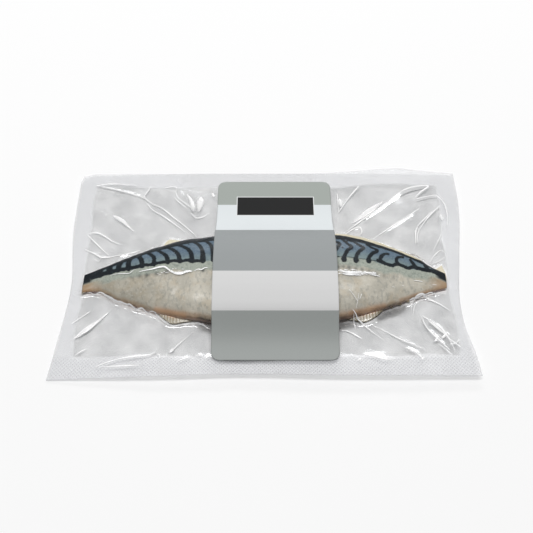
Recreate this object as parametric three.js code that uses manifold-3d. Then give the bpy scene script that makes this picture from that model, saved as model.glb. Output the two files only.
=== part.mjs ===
// Vacuum pack of two raw mackerel fillets. Each fillet lies skin side up with its back towards +Y.
// Their thick head ends overlap under the label, and their tails point to the two ends of the pouch.
// Lengths are millimetres. +X runs along the pouch, +Y across it, +Z up.
// The origin is the middle of the flat underside that the pack rests on.
import * as THREE from "three";
import { mergeVertices } from "three/addons/utils/BufferGeometryUtils.js";
import Module from "manifold-3d";

const wasm = await Module();
wasm.setup();

// Driving dimensions
const POUCH_LENGTH = 250;
const POUCH_WIDTH = 150;
const FILM = 0.4;
const GAP = 0.35;
const LABEL_WIDTH = 74;
const LABEL_FAR_EDGE = 67.5;
const LABEL_NEAR_EDGE = -64;
const LABEL_CENTRE_X = 5.1;
const LABEL_CORNER = 5;
const LABEL_THICKNESS = 0.35;
const BED = FILM + GAP; // height of the fillets' undersides

// How the pouch is meshed and shaped
const FILM_CELLS_X = 44; // both even, because the base film has every second grid line
const FILM_CELLS_Y = 26;
const SMOOTHING_PASSES = 6;
const FILM_SLOPE = 0.9; // how steeply the top film falls away from the fish
const FILM_CLEARANCE = 3.8; // a vertex clears all the fish within this distance
const SAMPLE_SPACING = 3; // spacing of the points that stand for the fish when the films are shaped
const BASE_RISE = 42; // distance over which the base film climbs from flat to the rim
const SIDE_RIM = 2; // height of the sealed rim at the middle of both side edges
const RIM_REACH = 30; // the far and near rims' own heights set in this far from the middle

// How the fillets are meshed
const RINGS = 30;
const RING_POINTS = 26;
const EDGE_HEIGHT = 1.8; // height of the widest line of a fillet above its underside
const CREST_SHIFT = 0.1; // the thickest line lies this share of the half width towards the back
const TOP_ROUNDNESS = 0.85; // below 1 fills the skin side out, 1 is an ellipse
const BOTTOM_CORNER_ACROSS = 0.7; // these two flatten the flesh side, which lies on the base film
const BOTTOM_CORNER_UP = 0.5;
const FIN_BOTTOM = BED + 0.5;
const FIN_THICKNESS = 1;
const END_CROWDING = 0.2; // 0 spaces the rings evenly, 1 crowds them fully towards both ends

// A smooth function through [position, value] points, held level past both ends.
function smoothThrough(points) {
  const positions = points.map((p) => p[0]);
  const values = points.map((p) => p[1]);
  const curve = new THREE.CubicInterpolant(positions, values, 1);
  const first = positions[0];
  const last = positions[positions.length - 1];
  return (x) => curve.evaluate(THREE.MathUtils.clamp(x, first, last))[0];
}

// The upper fillet, tail to -X. s is the distance from the tail cut.
const UPPER = {
  tailX: -111.4,
  towardsHead: 1,
  length: 145,
  back: smoothThrough([
    [0, -6], [9, -2], [20, 3.2], [32, 8.4], [44, 13], [56, 16.8],
    [68, 19.2], [80, 20.2], [98, 22], [118, 19.5], [132, 14], [141, 5], [145, -6],
  ]),
  belly: smoothThrough([
    [0, -18], [9, -17.8], [21, -23.3], [35, -28.8], [48, -33], [60, -35.6],
    [72, -37.4], [84, -39.6], [100, -40.6], [118, -38], [132, -31], [141, -21], [145, -10],
  ]),
  height: smoothThrough([
    [0, 3.2], [8, 4.6], [20, 7], [40, 11], [60, 14], [80, 16], [100, 17.6],
    [118, 17.8], [134, 16], [145, 14.6],
  ]),
};

// The lower fillet, tail to +X. It thins towards its head end, where the other lies on it.
const LOWER = {
  tailX: 109.4,
  towardsHead: -1,
  length: 143,
  back: smoothThrough([
    [0, -5], [7, -1], [16, 5.6], [29, 12], [43, 18.2], [59, 22], [68, 23],
    [90, 24], [112, 22.4], [128, 17], [138, 7], [143, -6],
  ]),
  belly: smoothThrough([
    [0, -15], [10, -18], [23, -23], [33, -27.4], [45, -31.4], [57, -34.4],
    [68, -37], [90, -37.2], [112, -34.6], [128, -29], [138, -19], [143, -9],
  ]),
  height: smoothThrough([
    [0, 3.4], [8, 4.8], [20, 7.4], [40, 11.4], [58, 14.2], [72, 14.6], [90, 11.4],
    [110, 7.4], [128, 4.4], [143, 3],
  ]),
};

// One closed loop of points round a fillet at distance s from its tail.
function crossSection(fillet, s, { grow = 0, raise = 0, bottom = BED } = {}) {
  const back = fillet.back(s) + grow;
  const belly = fillet.belly(s) - grow;
  const centre = (back + belly) / 2;
  const half = (back - belly) / 2;
  const height = fillet.height(s) + raise;
  const edge = BED + EDGE_HEIGHT;
  const loop = [];
  for (let k = 0; k < RING_POINTS; k++) {
    const angle = (2 * Math.PI * k) / RING_POINTS;
    const across = Math.cos(angle);
    const up = Math.sin(angle);
    if (k <= RING_POINTS / 2) {
      const y = centre + half * (across + CREST_SHIFT * up * up);
      loop.push([y, edge + (height - EDGE_HEIGHT) * Math.max(up, 0) ** TOP_ROUNDNESS]);
    } else {
      const y = centre + half * Math.sign(across) * Math.abs(across) ** BOTTOM_CORNER_ACROSS;
      loop.push([y, edge - (edge - bottom) * Math.abs(up) ** BOTTOM_CORNER_UP]);
    }
  }
  return loop;
}

// Distances of the rings from the tail. They crowd at both ends, where the outline turns quickly.
function ringPositions(fillet, grow) {
  const positions = [];
  for (let i = 0; i <= RINGS; i++) {
    const even = i / RINGS;
    const share = even - (END_CROWDING * Math.sin(2 * Math.PI * even)) / Math.PI;
    positions.push(share * (fillet.length + 2 * grow) - grow);
  }
  return positions;
}

// A mesh from equal closed loops of points, with a fan of triangles over each end.
function loftedGeometry(loops, reversed) {
  const around = loops[0].length;
  const vertices = loops.flat();
  const centreOf = (loop) =>
    [0, 1, 2].map((axis) => loop.reduce((sum, p) => sum + p[axis], 0) / around);
  const firstCentre = vertices.push(centreOf(loops[0])) - 1;
  const lastCentre = vertices.push(centreOf(loops[loops.length - 1])) - 1;
  const triangles = [];
  const add = (a, b, c) => triangles.push(...(reversed ? [a, c, b] : [a, b, c]));
  for (let i = 0; i + 1 < loops.length; i++) {
    for (let k = 0; k < around; k++) {
      const next = (k + 1) % around;
      const a = i * around + k;
      const b = i * around + next;
      add(a, b, a + around);
      add(b, b + around, a + around);
    }
  }
  const lastStart = (loops.length - 1) * around;
  for (let k = 0; k < around; k++) {
    const next = (k + 1) % around;
    add(firstCentre, next, k);
    add(lastCentre, lastStart + k, lastStart + next);
  }
  const geometry = new THREE.BufferGeometry();
  geometry.setAttribute("position", new THREE.Float32BufferAttribute(vertices.flat(), 3));
  geometry.setIndex(triangles);
  return geometry;
}

function filletGeometry(fillet, options = {}) {
  const grow = options.grow ?? 0;
  const loops = ringPositions(fillet, grow).map((s) => {
    const x = fillet.tailX + fillet.towardsHead * s;
    return crossSection(fillet, s, options).map(([y, z]) => [x, y, z]);
  });
  return loftedGeometry(loops, fillet.towardsHead < 0);
}

// A flat plate with the given [x, y] corners, such as a fin pressed against the film.
function finGeometry(corners, bottom, thickness) {
  const shape = new THREE.Shape(corners.map(([x, y]) => new THREE.Vector2(x, y)));
  const geometry = new THREE.ExtrudeGeometry(shape, { depth: thickness, bevelEnabled: false });
  return geometry.translate(0, 0, bottom);
}

function solidOf(geometry) {
  const bare = new THREE.BufferGeometry();
  bare.setAttribute("position", geometry.getAttribute("position"));
  bare.setIndex(geometry.index);
  const merged = mergeVertices(bare, 1e-4);
  return new wasm.Manifold(
    new wasm.Mesh({
      numProp: 3,
      vertProperties: merged.attributes.position.array,
      triVerts: new Uint32Array(merged.index.array),
    }),
  );
}

function geometryOf(solid) {
  const mesh = solid.getMesh();
  const geometry = new THREE.BufferGeometry();
  geometry.setAttribute("position", new THREE.BufferAttribute(mesh.vertProperties, 3));
  geometry.setIndex(new THREE.BufferAttribute(mesh.triVerts, 1));
  geometry.computeVertexNormals();
  return geometry;
}

function lowerFilletSolid() {
  const analFin = [[74, -24], [72, -29.4], [63, -35.6], [57, -37.8], [47, -36.4], [50, -28]];
  const tailFinStub = [[102, -4], [109.8, 3.4], [110.4, -7], [108.8, -16], [102, -14]];
  return [analFin, tailFinStub].reduce(
    (body, fin) => body.add(solidOf(finGeometry(fin, FIN_BOTTOM, FIN_THICKNESS))),
    solidOf(filletGeometry(LOWER)),
  );
}

function upperFilletSolid() {
  const analFin = [[-65, -26], [-64, -32.6], [-57, -39.6], [-52, -39.4], [-42, -36.6], [-46, -28]];
  const backFin = [[-65, 8], [-65, 15.2], [-60, 20.4], [-54.5, 19.6], [-50, 18], [-50, 10]];
  const tailFinStub = [[-104, -6], [-111.8, -4.6], [-112.2, -19.4], [-106, -17]];
  const whole = [analFin, backFin, tailFinStub].reduce(
    (body, fin) => body.add(solidOf(finGeometry(fin, FIN_BOTTOM, FIN_THICKNESS))),
    solidOf(filletGeometry(UPPER)),
  );
  const below = filletGeometry(LOWER, { grow: GAP * 2, raise: GAP, bottom: -FILM });
  return whole.subtract(solidOf(below));
}

// Points spread over the faces of both fillets, which the films have to clear.
function fishPoints(solids) {
  const points = [];
  for (const solid of solids) {
    const { vertProperties, triVerts } = solid.getMesh();
    const corner = (k) => new THREE.Vector3().fromArray(vertProperties, 3 * triVerts[k]);
    for (let t = 0; t < triVerts.length; t += 3) {
      const [a, b, c] = [corner(t), corner(t + 1), corner(t + 2)];
      const longest = Math.max(a.distanceTo(b), b.distanceTo(c), c.distanceTo(a));
      const steps = Math.ceil(longest / SAMPLE_SPACING);
      for (let i = 0; i <= steps; i++) {
        for (let j = 0; i + j <= steps; j++) {
          const point = a.clone().multiplyScalar(1 - (i + j) / steps);
          point.addScaledVector(b, i / steps).addScaledVector(c, j / steps);
          points.push(point.toArray());
        }
      }
    }
  }
  return points;
}

// How far the fish draw each edge of the pouch inwards, by the share of the way from near to far
// for the side edges, and from left to right for the others.
const LEFT_INSET = smoothThrough([[0, 0], [0.12, 2.2], [0.26, 4.4], [0.42, 5.7], [0.66, 2.4], [1, 1.8]]);
const RIGHT_INSET = smoothThrough([
  [0, 3.2], [0.1, 4.8], [0.21, 7.8], [0.34, 8.3], [0.55, 4.6], [0.84, 0], [1, 0.4],
]);
const NEAR_INSET = smoothThrough([[0, 0], [0.28, 1], [0.42, 2.2], [0.69, 1.2], [1, 1.3]]);
const FAR_INSET = smoothThrough([[0, 2.2], [0.2, 0.6], [0.6, 0], [0.88, 0], [1, 1.4]]);

// Heights of the wavy sealed rim along its near and far edges, by x.
const NEAR_RIM = smoothThrough([
  [-125, 0.6], [-88, 3], [-54, 5], [0, 5.6], [60, 5.4], [100, 4.6], [122, 4],
]);
const FAR_RIM = smoothThrough([[-125, 1.4], [52, 1.4], [70, 3.4], [86, 5.2], [104, 3.2], [124, 1.6]]);

// Where a vertex of the pouch lies in plan, for along and across from 0 to 1.
function pouchPlan(along, across) {
  const left = -POUCH_LENGTH / 2 + LEFT_INSET(across);
  const right = POUCH_LENGTH / 2 - RIGHT_INSET(across);
  const near = -POUCH_WIDTH / 2 + NEAR_INSET(along);
  const far = POUCH_WIDTH / 2 - FAR_INSET(along);
  return [THREE.MathUtils.lerp(left, right, along), THREE.MathUtils.lerp(near, far, across)];
}

function gridPlan(i, j) {
  return pouchPlan(i / FILM_CELLS_X, j / FILM_CELLS_Y);
}

function rimHeight(x, y) {
  const near = THREE.MathUtils.smoothstep(-y, RIM_REACH, POUCH_WIDTH / 2);
  const far = THREE.MathUtils.smoothstep(y, RIM_REACH, POUCH_WIDTH / 2);
  return SIDE_RIM + near * (NEAR_RIM(x) - SIDE_RIM) + far * (FAR_RIM(x) - SIDE_RIM);
}

// Distance in plan from a point to the nearest of the fish's points.
function distanceToFish(x, y, points) {
  return points.reduce((least, p) => Math.min(least, Math.hypot(p[0] - x, p[1] - y)), Infinity);
}

function baseFilmHeight(x, y, points) {
  const away = Math.max(0, distanceToFish(x, y, points) - FILM_CLEARANCE);
  return rimHeight(x, y) * THREE.MathUtils.smoothstep(away, 0, BASE_RISE);
}

// The height that film stretched over the fish would have, falling away from it at a set slope.
function drapeHeight(x, y, points) {
  let highest = 0;
  for (const [px, py, pz] of points) {
    const away = Math.max(0, Math.hypot(px - x, py - y) - FILM_CLEARANCE);
    highest = Math.max(highest, pz - FILM_SLOPE * away);
  }
  return highest;
}

// A sheet of the pouch on every nth line of the grid, between two functions of the grid indices.
function sheetGeometry(everyNth, lowerHeight, upperHeight) {
  const cellsX = FILM_CELLS_X / everyNth;
  const cellsY = FILM_CELLS_Y / everyNth;
  const columns = cellsX + 1;
  const vertices = [];
  for (const height of [lowerHeight, upperHeight]) {
    for (let j = 0; j <= FILM_CELLS_Y; j += everyNth) {
      for (let i = 0; i <= FILM_CELLS_X; i += everyNth) {
        vertices.push(...gridPlan(i, j), height(i, j));
      }
    }
  }
  const top = columns * (cellsY + 1);
  const at = (i, j) => j * columns + i;
  const triangles = [];
  for (let j = 0; j < cellsY; j++) {
    for (let i = 0; i < cellsX; i++) {
      const [a, b, c, d] = [at(i, j), at(i + 1, j), at(i + 1, j + 1), at(i, j + 1)];
      triangles.push(a, c, b, a, d, c, top + a, top + b, top + c, top + a, top + c, top + d);
    }
  }
  const wall = (a, b) => triangles.push(a, b, top + b, a, top + b, top + a);
  for (let i = 0; i < cellsX; i++) {
    wall(at(i, 0), at(i + 1, 0));
    wall(at(i + 1, cellsY), at(i, cellsY));
  }
  for (let j = 0; j < cellsY; j++) {
    wall(at(0, j + 1), at(0, j));
    wall(at(cellsX, j), at(cellsX, j + 1));
  }
  const geometry = new THREE.BufferGeometry();
  geometry.setAttribute("position", new THREE.Float32BufferAttribute(vertices, 3));
  geometry.setIndex(triangles);
  return geometry;
}

const PRISM_HEIGHT = 60; // anything taller than the pack

// A standing prism over the label's outline, which has rounded corners.
function labelPrism() {
  const half = LABEL_WIDTH / 2;
  const [left, right] = [LABEL_CENTRE_X - half, LABEL_CENTRE_X + half];
  const [near, far, r] = [LABEL_NEAR_EDGE, LABEL_FAR_EDGE, LABEL_CORNER];
  const quarter = Math.PI / 2;
  const outline = new THREE.Shape();
  outline.moveTo(left + r, near);
  outline.absarc(right - r, near + r, r, -quarter, 0);
  outline.absarc(right - r, far - r, r, 0, quarter);
  outline.absarc(left + r, far - r, r, quarter, 2 * quarter);
  outline.absarc(left + r, near + r, r, 2 * quarter, 3 * quarter);
  const settings = { depth: PRISM_HEIGHT, bevelEnabled: false, curveSegments: 5 };
  return new THREE.ExtrudeGeometry(outline, settings);
}

const lowerFillet = lowerFilletSolid();
const upperFillet = upperFilletSolid();
const fish = fishPoints([lowerFillet, upperFillet]);

const columns = FILM_CELLS_X + 1;
const gridIndex = (i, j) => j * columns + i;
const baseHeights = [];
const drapeHeights = [];
for (let j = 0; j <= FILM_CELLS_Y; j++) {
  for (let i = 0; i <= FILM_CELLS_X; i++) {
    const [x, y] = gridPlan(i, j);
    baseHeights.push(baseFilmHeight(x, y, fish));
    drapeHeights.push(drapeHeight(x, y, fish));
  }
}

// The base film is straight between its own grid lines, which are every second line of the grid.
function baseHeight(i, j) {
  const [oddX, oddY] = [i % 2, j % 2];
  const one = baseHeights[gridIndex(i - oddX, j - oddY)];
  return (one + baseHeights[gridIndex(i + oddX, j + oddY)]) / 2;
}

// The top film is pulled smooth, but never into the fish or the base film.
const leastHeights = drapeHeights.map((height, index) => {
  const [i, j] = [index % columns, Math.floor(index / columns)];
  return Math.max(height, baseHeight(i, j) + FILM) + GAP;
});
let topHeights = leastHeights;
for (let pass = 0; pass < SMOOTHING_PASSES; pass++) {
  topHeights = topHeights.map((height, index) => {
    const [i, j] = [index % columns, Math.floor(index / columns)];
    if (i === 0 || j === 0 || i === FILM_CELLS_X || j === FILM_CELLS_Y) return height;
    const around = [index - 1, index + 1, index - columns, index + columns];
    const mean = around.reduce((sum, k) => sum + topHeights[k], 0) / around.length;
    return Math.max(leastHeights[index], (height + mean) / 2);
  });
}
const topHeight = (i, j) => topHeights[gridIndex(i, j)];
const labelHeight = (i, j) => topHeight(i, j) + FILM + GAP;
const baseSheet = sheetGeometry(2, baseHeight, (i, j) => baseHeight(i, j) + FILM);
const topSheet = sheetGeometry(1, topHeight, (i, j) => topHeight(i, j) + FILM);
const labelSheet = sheetGeometry(1, labelHeight, (i, j) => labelHeight(i, j) + LABEL_THICKNESS);
const labelSolid = solidOf(labelSheet).intersect(solidOf(labelPrism()));

const skin = new THREE.MeshStandardMaterial({ color: 0x7f8c8d, roughness: 0.35, metalness: 0.1 });
const film = new THREE.MeshStandardMaterial({
  color: 0xe4e6e8,
  roughness: 0.12,
  metalness: 0,
  transparent: true,
  opacity: 0.3,
});
const paper = new THREE.MeshStandardMaterial({ color: 0xa3a8a7, roughness: 0.6, metalness: 0 });

const pack = new THREE.Group();
function addPiece(name, geometry, material) {
  const mesh = new THREE.Mesh(geometry, material);
  mesh.name = name;
  pack.add(mesh);
}
addPiece("fillet_lower", geometryOf(lowerFillet), skin);
addPiece("fillet_upper", geometryOf(upperFillet), skin);
addPiece("pouch_base_film", baseSheet, film);
addPiece("pouch_top_film", topSheet, film);
addPiece("label", geometryOf(labelSolid), paper);

export default pack;
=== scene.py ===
"""The finished look of a vacuum pack of two raw mackerel fillets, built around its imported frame.

Shapes are worked out in millimetres and written to the meshes in metres. +X runs along the pouch,
+Y across it and +Z up, with the origin under the middle of the pack.
"""

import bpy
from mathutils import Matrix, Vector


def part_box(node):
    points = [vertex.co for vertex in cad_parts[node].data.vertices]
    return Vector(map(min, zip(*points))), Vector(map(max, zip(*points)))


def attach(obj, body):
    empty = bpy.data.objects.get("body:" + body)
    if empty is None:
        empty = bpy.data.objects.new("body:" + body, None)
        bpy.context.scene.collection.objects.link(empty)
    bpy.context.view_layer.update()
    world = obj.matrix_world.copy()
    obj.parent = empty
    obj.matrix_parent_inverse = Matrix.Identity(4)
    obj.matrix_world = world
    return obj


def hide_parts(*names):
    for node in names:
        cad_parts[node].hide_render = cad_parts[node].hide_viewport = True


bl_info = {
    "name": "Vacuum-Packed Mackerel Fillets",
    "version": (1, 0, 0),
    "blender": (4, 5, 0),
    "location": "View3D > Sidebar > Fish Pack",
    "description": "Models the fillets, the clear pouch and the label of a vacuum pack",
    "category": "Object",
}

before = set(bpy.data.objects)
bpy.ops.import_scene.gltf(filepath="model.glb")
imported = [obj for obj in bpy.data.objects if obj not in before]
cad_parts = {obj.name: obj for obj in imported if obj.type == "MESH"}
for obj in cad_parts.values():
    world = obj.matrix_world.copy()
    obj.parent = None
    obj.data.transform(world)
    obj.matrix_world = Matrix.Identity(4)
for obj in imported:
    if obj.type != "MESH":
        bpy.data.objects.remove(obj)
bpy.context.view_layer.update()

import math
from dataclasses import dataclass, field

import bmesh
import bpy
import numpy as np
from bpy.props import FloatProperty, FloatVectorProperty, PointerProperty
from mathutils import Vector
from mathutils.bvhtree import BVHTree

MM = 0.001
PANEL_TAB = "Fish Pack"


def from_srgb(red, green, blue):
    """A linear colour from 8-bit display values."""
    def linear(value):
        share = value / 255
        return share / 12.92 if share <= 0.04045 else ((share + 0.055) / 1.055) ** 2.4
    return tuple(linear(value) for value in (red, green, blue))


# ------------------------------------------------------------------------------------------------
# Curves and patterns
# ------------------------------------------------------------------------------------------------


def smooth_through(points):
    """A smooth function through (position, value) points, held level past both ends."""
    at, value = np.array(points, float).T
    slope = np.gradient(value, at)

    def curve(position):
        position = np.clip(position, at[0], at[-1])
        k = np.clip(np.searchsorted(at, position, "right") - 1, 0, len(at) - 2)
        gap = at[k + 1] - at[k]
        t = (position - at[k]) / gap
        from_values = (1 + 2 * t) * (1 - t) ** 2 * value[k] + t * t * (3 - 2 * t) * value[k + 1]
        from_slopes = t * (1 - t) ** 2 * slope[k] + t * t * (t - 1) * slope[k + 1]
        return from_values + gap * from_slopes

    return curve


def smooth_step(low, high, value):
    t = np.clip((value - low) / (high - low), 0, 1)
    return t * t * (3 - 2 * t)


def route_through(points, step=0.25):
    """Closely and evenly spaced plan points on a smooth curve through a few points."""
    points = np.array(points, float)
    lengths = np.linalg.norm(np.diff(points, axis=0), axis=1)
    along = np.concatenate([[0], np.cumsum(lengths)])
    stations = np.linspace(0, along[-1], max(3, math.ceil(along[-1] / step) + 1))
    return np.stack([smooth_through(list(zip(along, points[:, k])))(stations) for k in (0, 1)], 1)


def along_route(route, shares):
    """Plan points at shares of the way along a route."""
    stations = np.linspace(0, 1, len(route))
    return np.stack([np.interp(shares, stations, route[:, k]) for k in (0, 1)], 1)


def distance_to_route(plan, route, reach):
    """Distance of plan points to a route, at most reach, and the nearest place's share along it."""
    distance = np.full(len(plan), float(reach))
    share = np.zeros(len(plan))
    near = ((plan > route.min(0) - reach) & (plan < route.max(0) + reach)).all(1)
    if near.any():
        gaps = np.linalg.norm(plan[near, None] - route[None], axis=2)
        nearest = gaps.argmin(1)
        distance[near] = np.minimum(gaps.min(1), reach)
        share[near] = nearest / (len(route) - 1)
    return distance, share


def ripple(points, wavelength, seed, waves=14):
    """Smooth waves of about unit height in any number of dimensions, the same on every run."""
    random = np.random.default_rng(seed)
    directions = random.normal(size=(waves, points.shape[1]))
    directions /= np.linalg.norm(directions, axis=1, keepdims=True)
    directions *= 2 * math.pi / wavelength * random.uniform(0.6, 1.5, (waves, 1))
    phases = random.uniform(0, 2 * math.pi, waves)
    return np.sin(points @ directions.T + phases).sum(1) / math.sqrt(waves)


# ------------------------------------------------------------------------------------------------
# Mesh helpers
# ------------------------------------------------------------------------------------------------


def add_sheet(bm, cells_along, cells_across, place):
    """Adds a grid and moves its vertices to place(u, v) in millimetres, with u and v from 0 to 1."""
    made = bmesh.ops.create_grid(bm, x_segments=cells_along, y_segments=cells_across, size=1)
    plan = np.array([vert.co[:2] for vert in made["verts"]]) / 2 + 0.5
    for vert, point in zip(made["verts"], place(plan[:, 0], plan[:, 1]) * MM):
        vert.co = point


def finish_piece(bm, name, node, material):
    """Turns a bmesh into a smooth piece that rides on the pack and stands for one of its nodes."""
    mesh = bpy.data.meshes.new(name)
    bm.to_mesh(mesh)
    bm.free()
    mesh.shade_smooth()
    mesh.materials.append(material)
    piece = bpy.data.objects.new(name, mesh)
    bpy.context.scene.collection.objects.link(piece)
    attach(piece, "root")
    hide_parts(node)
    return piece


def places_of(mesh):
    """The mesh's vertices as an array, in millimetres."""
    flat = np.empty(3 * len(mesh.vertices), np.float32)
    mesh.vertices.foreach_get("co", flat)
    return flat.reshape(-1, 3).astype(float) / MM


def move_to(mesh, places):
    mesh.vertices.foreach_set("co", (places * MM).astype(np.float32).ravel())
    mesh.update()


def normals_of(mesh):
    flat = np.empty(3 * len(mesh.vertices), np.float32)
    mesh.vertex_normals.foreach_get("vector", flat)
    return flat.reshape(-1, 3).astype(float)


def keep_value(mesh, name, values):
    """Stores one number for each vertex, which materials read by name."""
    attribute = mesh.attributes.new(name, "FLOAT", "POINT")
    attribute.data.foreach_set("value", np.asarray(values, np.float32))


def add_thickness(piece, thickness):
    """Gives a sheet its thickness, in millimetres, downwards from its face."""
    solidify = piece.modifiers.new("Thickness", "SOLIDIFY")
    solidify.thickness = thickness * MM
    solidify.offset = -1


# ------------------------------------------------------------------------------------------------
# Material helpers
# ------------------------------------------------------------------------------------------------


def mottle_group():
    """The patchiness that most of the surfaces share, as one node group.

    Scale is in patches for each millimetre. Mask goes from 0 to Strength between the two levels of
    the noise, and Cloud is the noise itself.
    """
    name = "mottle"
    if name in bpy.data.node_groups:
        return bpy.data.node_groups[name]
    group = bpy.data.node_groups.new(name, "ShaderNodeTree")
    for socket, default in (("Scale", 1), ("Detail", 3), ("Low", 0.4), ("High", 0.6), ("Strength", 1)):
        made = group.interface.new_socket(socket, in_out="INPUT", socket_type="NodeSocketFloat")
        made.default_value = default
    for socket in ("Mask", "Cloud"):
        group.interface.new_socket(socket, in_out="OUTPUT", socket_type="NodeSocketFloat")
    given = group.nodes.new("NodeGroupInput")
    coordinates = group.nodes.new("ShaderNodeTexCoord")
    mapping = group.nodes.new("ShaderNodeMapping")
    mapping.inputs["Scale"].default_value = (1 / MM, 1 / MM, 1 / MM)
    noise = group.nodes.new("ShaderNodeTexNoise")
    levels = group.nodes.new("ShaderNodeMapRange")
    levels.interpolation_type = "SMOOTHSTEP"
    results = group.nodes.new("NodeGroupOutput")
    for start, end in (
        (coordinates.outputs["Object"], mapping.inputs["Vector"]),
        (mapping.outputs["Vector"], noise.inputs["Vector"]),
        (given.outputs["Scale"], noise.inputs["Scale"]),
        (given.outputs["Detail"], noise.inputs["Detail"]),
        (noise.outputs["Fac"], levels.inputs["Value"]),
        (given.outputs["Low"], levels.inputs["From Min"]),
        (given.outputs["High"], levels.inputs["From Max"]),
        (given.outputs["Strength"], levels.inputs["To Max"]),
        (levels.outputs["Result"], results.inputs["Mask"]),
        (noise.outputs["Fac"], results.inputs["Cloud"]),
    ):
        group.links.new(start, end)
    return group


class Shader:
    """A material's node tree, with one short call for each kind of node it needs."""

    def __init__(self, name):
        self.material = bpy.data.materials.new(name)
        self.material.use_nodes = True
        self.tree = self.material.node_tree
        self.principled = self.tree.nodes["Principled BSDF"]

    def link(self, value, socket):
        if isinstance(value, bpy.types.NodeSocket):
            self.tree.links.new(value, socket)
        elif value is not None:
            socket.default_value = value

    def set(self, **inputs):
        for name, value in inputs.items():
            self.link(value, self.principled.inputs[name.replace("_", " ")])

    def value(self, name):
        node = self.tree.nodes.new("ShaderNodeAttribute")
        node.attribute_name = name
        return node.outputs["Fac"]

    def math(self, operation, a, b=None, c=None):
        node = self.tree.nodes.new("ShaderNodeMath")
        node.operation = operation
        for value, socket in zip((a, b, c), node.inputs):
            self.link(value, socket)
        return node.outputs[0]

    def fade(self, value, low, high):
        """0 where value is below low, 1 above high and smooth between. Low may be the larger."""
        node = self.tree.nodes.new("ShaderNodeMapRange")
        node.interpolation_type = "SMOOTHSTEP"
        self.link(value, node.inputs["Value"])
        if low > high:
            low, high = high, low
            node.inputs["To Min"].default_value = 1
            node.inputs["To Max"].default_value = 0
        node.inputs["From Min"].default_value = low
        node.inputs["From Max"].default_value = high
        return node.outputs["Result"]

    def mix(self, factor, a, b, blend="MIX"):
        node = self.tree.nodes.new("ShaderNodeMix")
        node.data_type = "RGBA"
        node.blend_type = blend
        self.link(factor, node.inputs["Factor"])
        for value, socket in zip((a, b), (node.inputs["A"], node.inputs["B"])):
            self.link((*value, 1) if isinstance(value, tuple) else value, socket)
        return node.outputs["Result"]

    def place(self, scale=(1, 1, 1), turn=0.0):
        """Object coordinates in millimetres, turned about Z and then scaled."""
        coordinates = self.tree.nodes.new("ShaderNodeTexCoord")
        mapping = self.tree.nodes.new("ShaderNodeMapping")
        mapping.inputs["Scale"].default_value = [share / MM for share in scale]
        mapping.inputs["Rotation"].default_value = (0, 0, turn)
        self.link(coordinates.outputs["Object"], mapping.inputs["Vector"])
        return mapping.outputs["Vector"]

    def axes(self):
        """The X, Y and Z of Object coordinates, in millimetres."""
        node = self.tree.nodes.new("ShaderNodeSeparateXYZ")
        self.link(self.place(), node.inputs[0])
        return node.outputs

    def noise(self, size, detail=3.0, scale=(1, 1, 1), turn=0.0, roughness=0.55):
        """Cloudy noise from 0 to 1, with patches about size millimetres across."""
        node = self.tree.nodes.new("ShaderNodeTexNoise")
        node.inputs["Scale"].default_value = 1 / size
        node.inputs["Detail"].default_value = detail
        node.inputs["Roughness"].default_value = roughness
        self.link(self.place(scale, turn), node.inputs["Vector"])
        return node.outputs["Fac"]

    def mottle(self, size, low=0.4, high=0.6, strength=1.0, detail=3.0, output="Mask"):
        """The shared patchiness, with patches about size millimetres across."""
        node = self.tree.nodes.new("ShaderNodeGroup")
        node.node_tree = mottle_group()
        values = {"Scale": 1 / size, "Detail": detail, "Low": low, "High": high, "Strength": strength}
        for name, value in values.items():
            node.inputs[name].default_value = value
        return node.outputs[output]

    def cells(self, size, scale=(1, 1, 1), feature="F1", turn=0.0):
        node = self.tree.nodes.new("ShaderNodeTexVoronoi")
        node.feature = feature
        node.inputs["Scale"].default_value = 1 / size
        self.link(self.place(scale, turn), node.inputs["Vector"])
        return node.outputs["Distance"]

    def bump(self, height, strength, distance=0.1, normal=None):
        """A normal that follows height. Distance is the relief's depth in millimetres."""
        node = self.tree.nodes.new("ShaderNodeBump")
        node.inputs["Strength"].default_value = strength
        node.inputs["Distance"].default_value = distance * MM
        self.link(height, node.inputs["Height"])
        self.link(normal, node.inputs["Normal"])
        return node.outputs["Normal"]


# ------------------------------------------------------------------------------------------------
# Fillets
# ------------------------------------------------------------------------------------------------

BED = 0.45  # height of the fillets' undersides, just above the base film
EDGE_HEIGHT = 2.0  # height of the widest line of a fillet above its underside
CREST_SHIFT = 0.1  # the thickest line lies this share of the half width towards the back
TOP_ROUNDNESS = 0.85
BOTTOM_CORNER_ACROSS = 0.7
BOTTOM_CORNER_UP = 0.5
OVERLAP_GAP = 0.35  # room left between the two fillets where one lies on the other
LEAST_THICKNESS = 0.6
FLAP_SPREAD = 0.6  # how far a lifted belly flap spreads outwards for each millimetre of its lift
SKIN_CELLS_ALONG = 300
SKIN_CELLS_AROUND = 190
END_EASING = 0.12  # how much closer the cells along a fillet are at both of its ends
SKIN_SHARE = 0.78  # share of the cells round a fillet that its skin side has
INK_REACH = 4.0  # how far from a dark mark its distance is still worked out


@dataclass
class Mark:
    """A dark mark on the skin: plan points and the half width at its start, middle and end."""

    points: list
    widths: tuple = (0.9, 0.9, 0.9)


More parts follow.
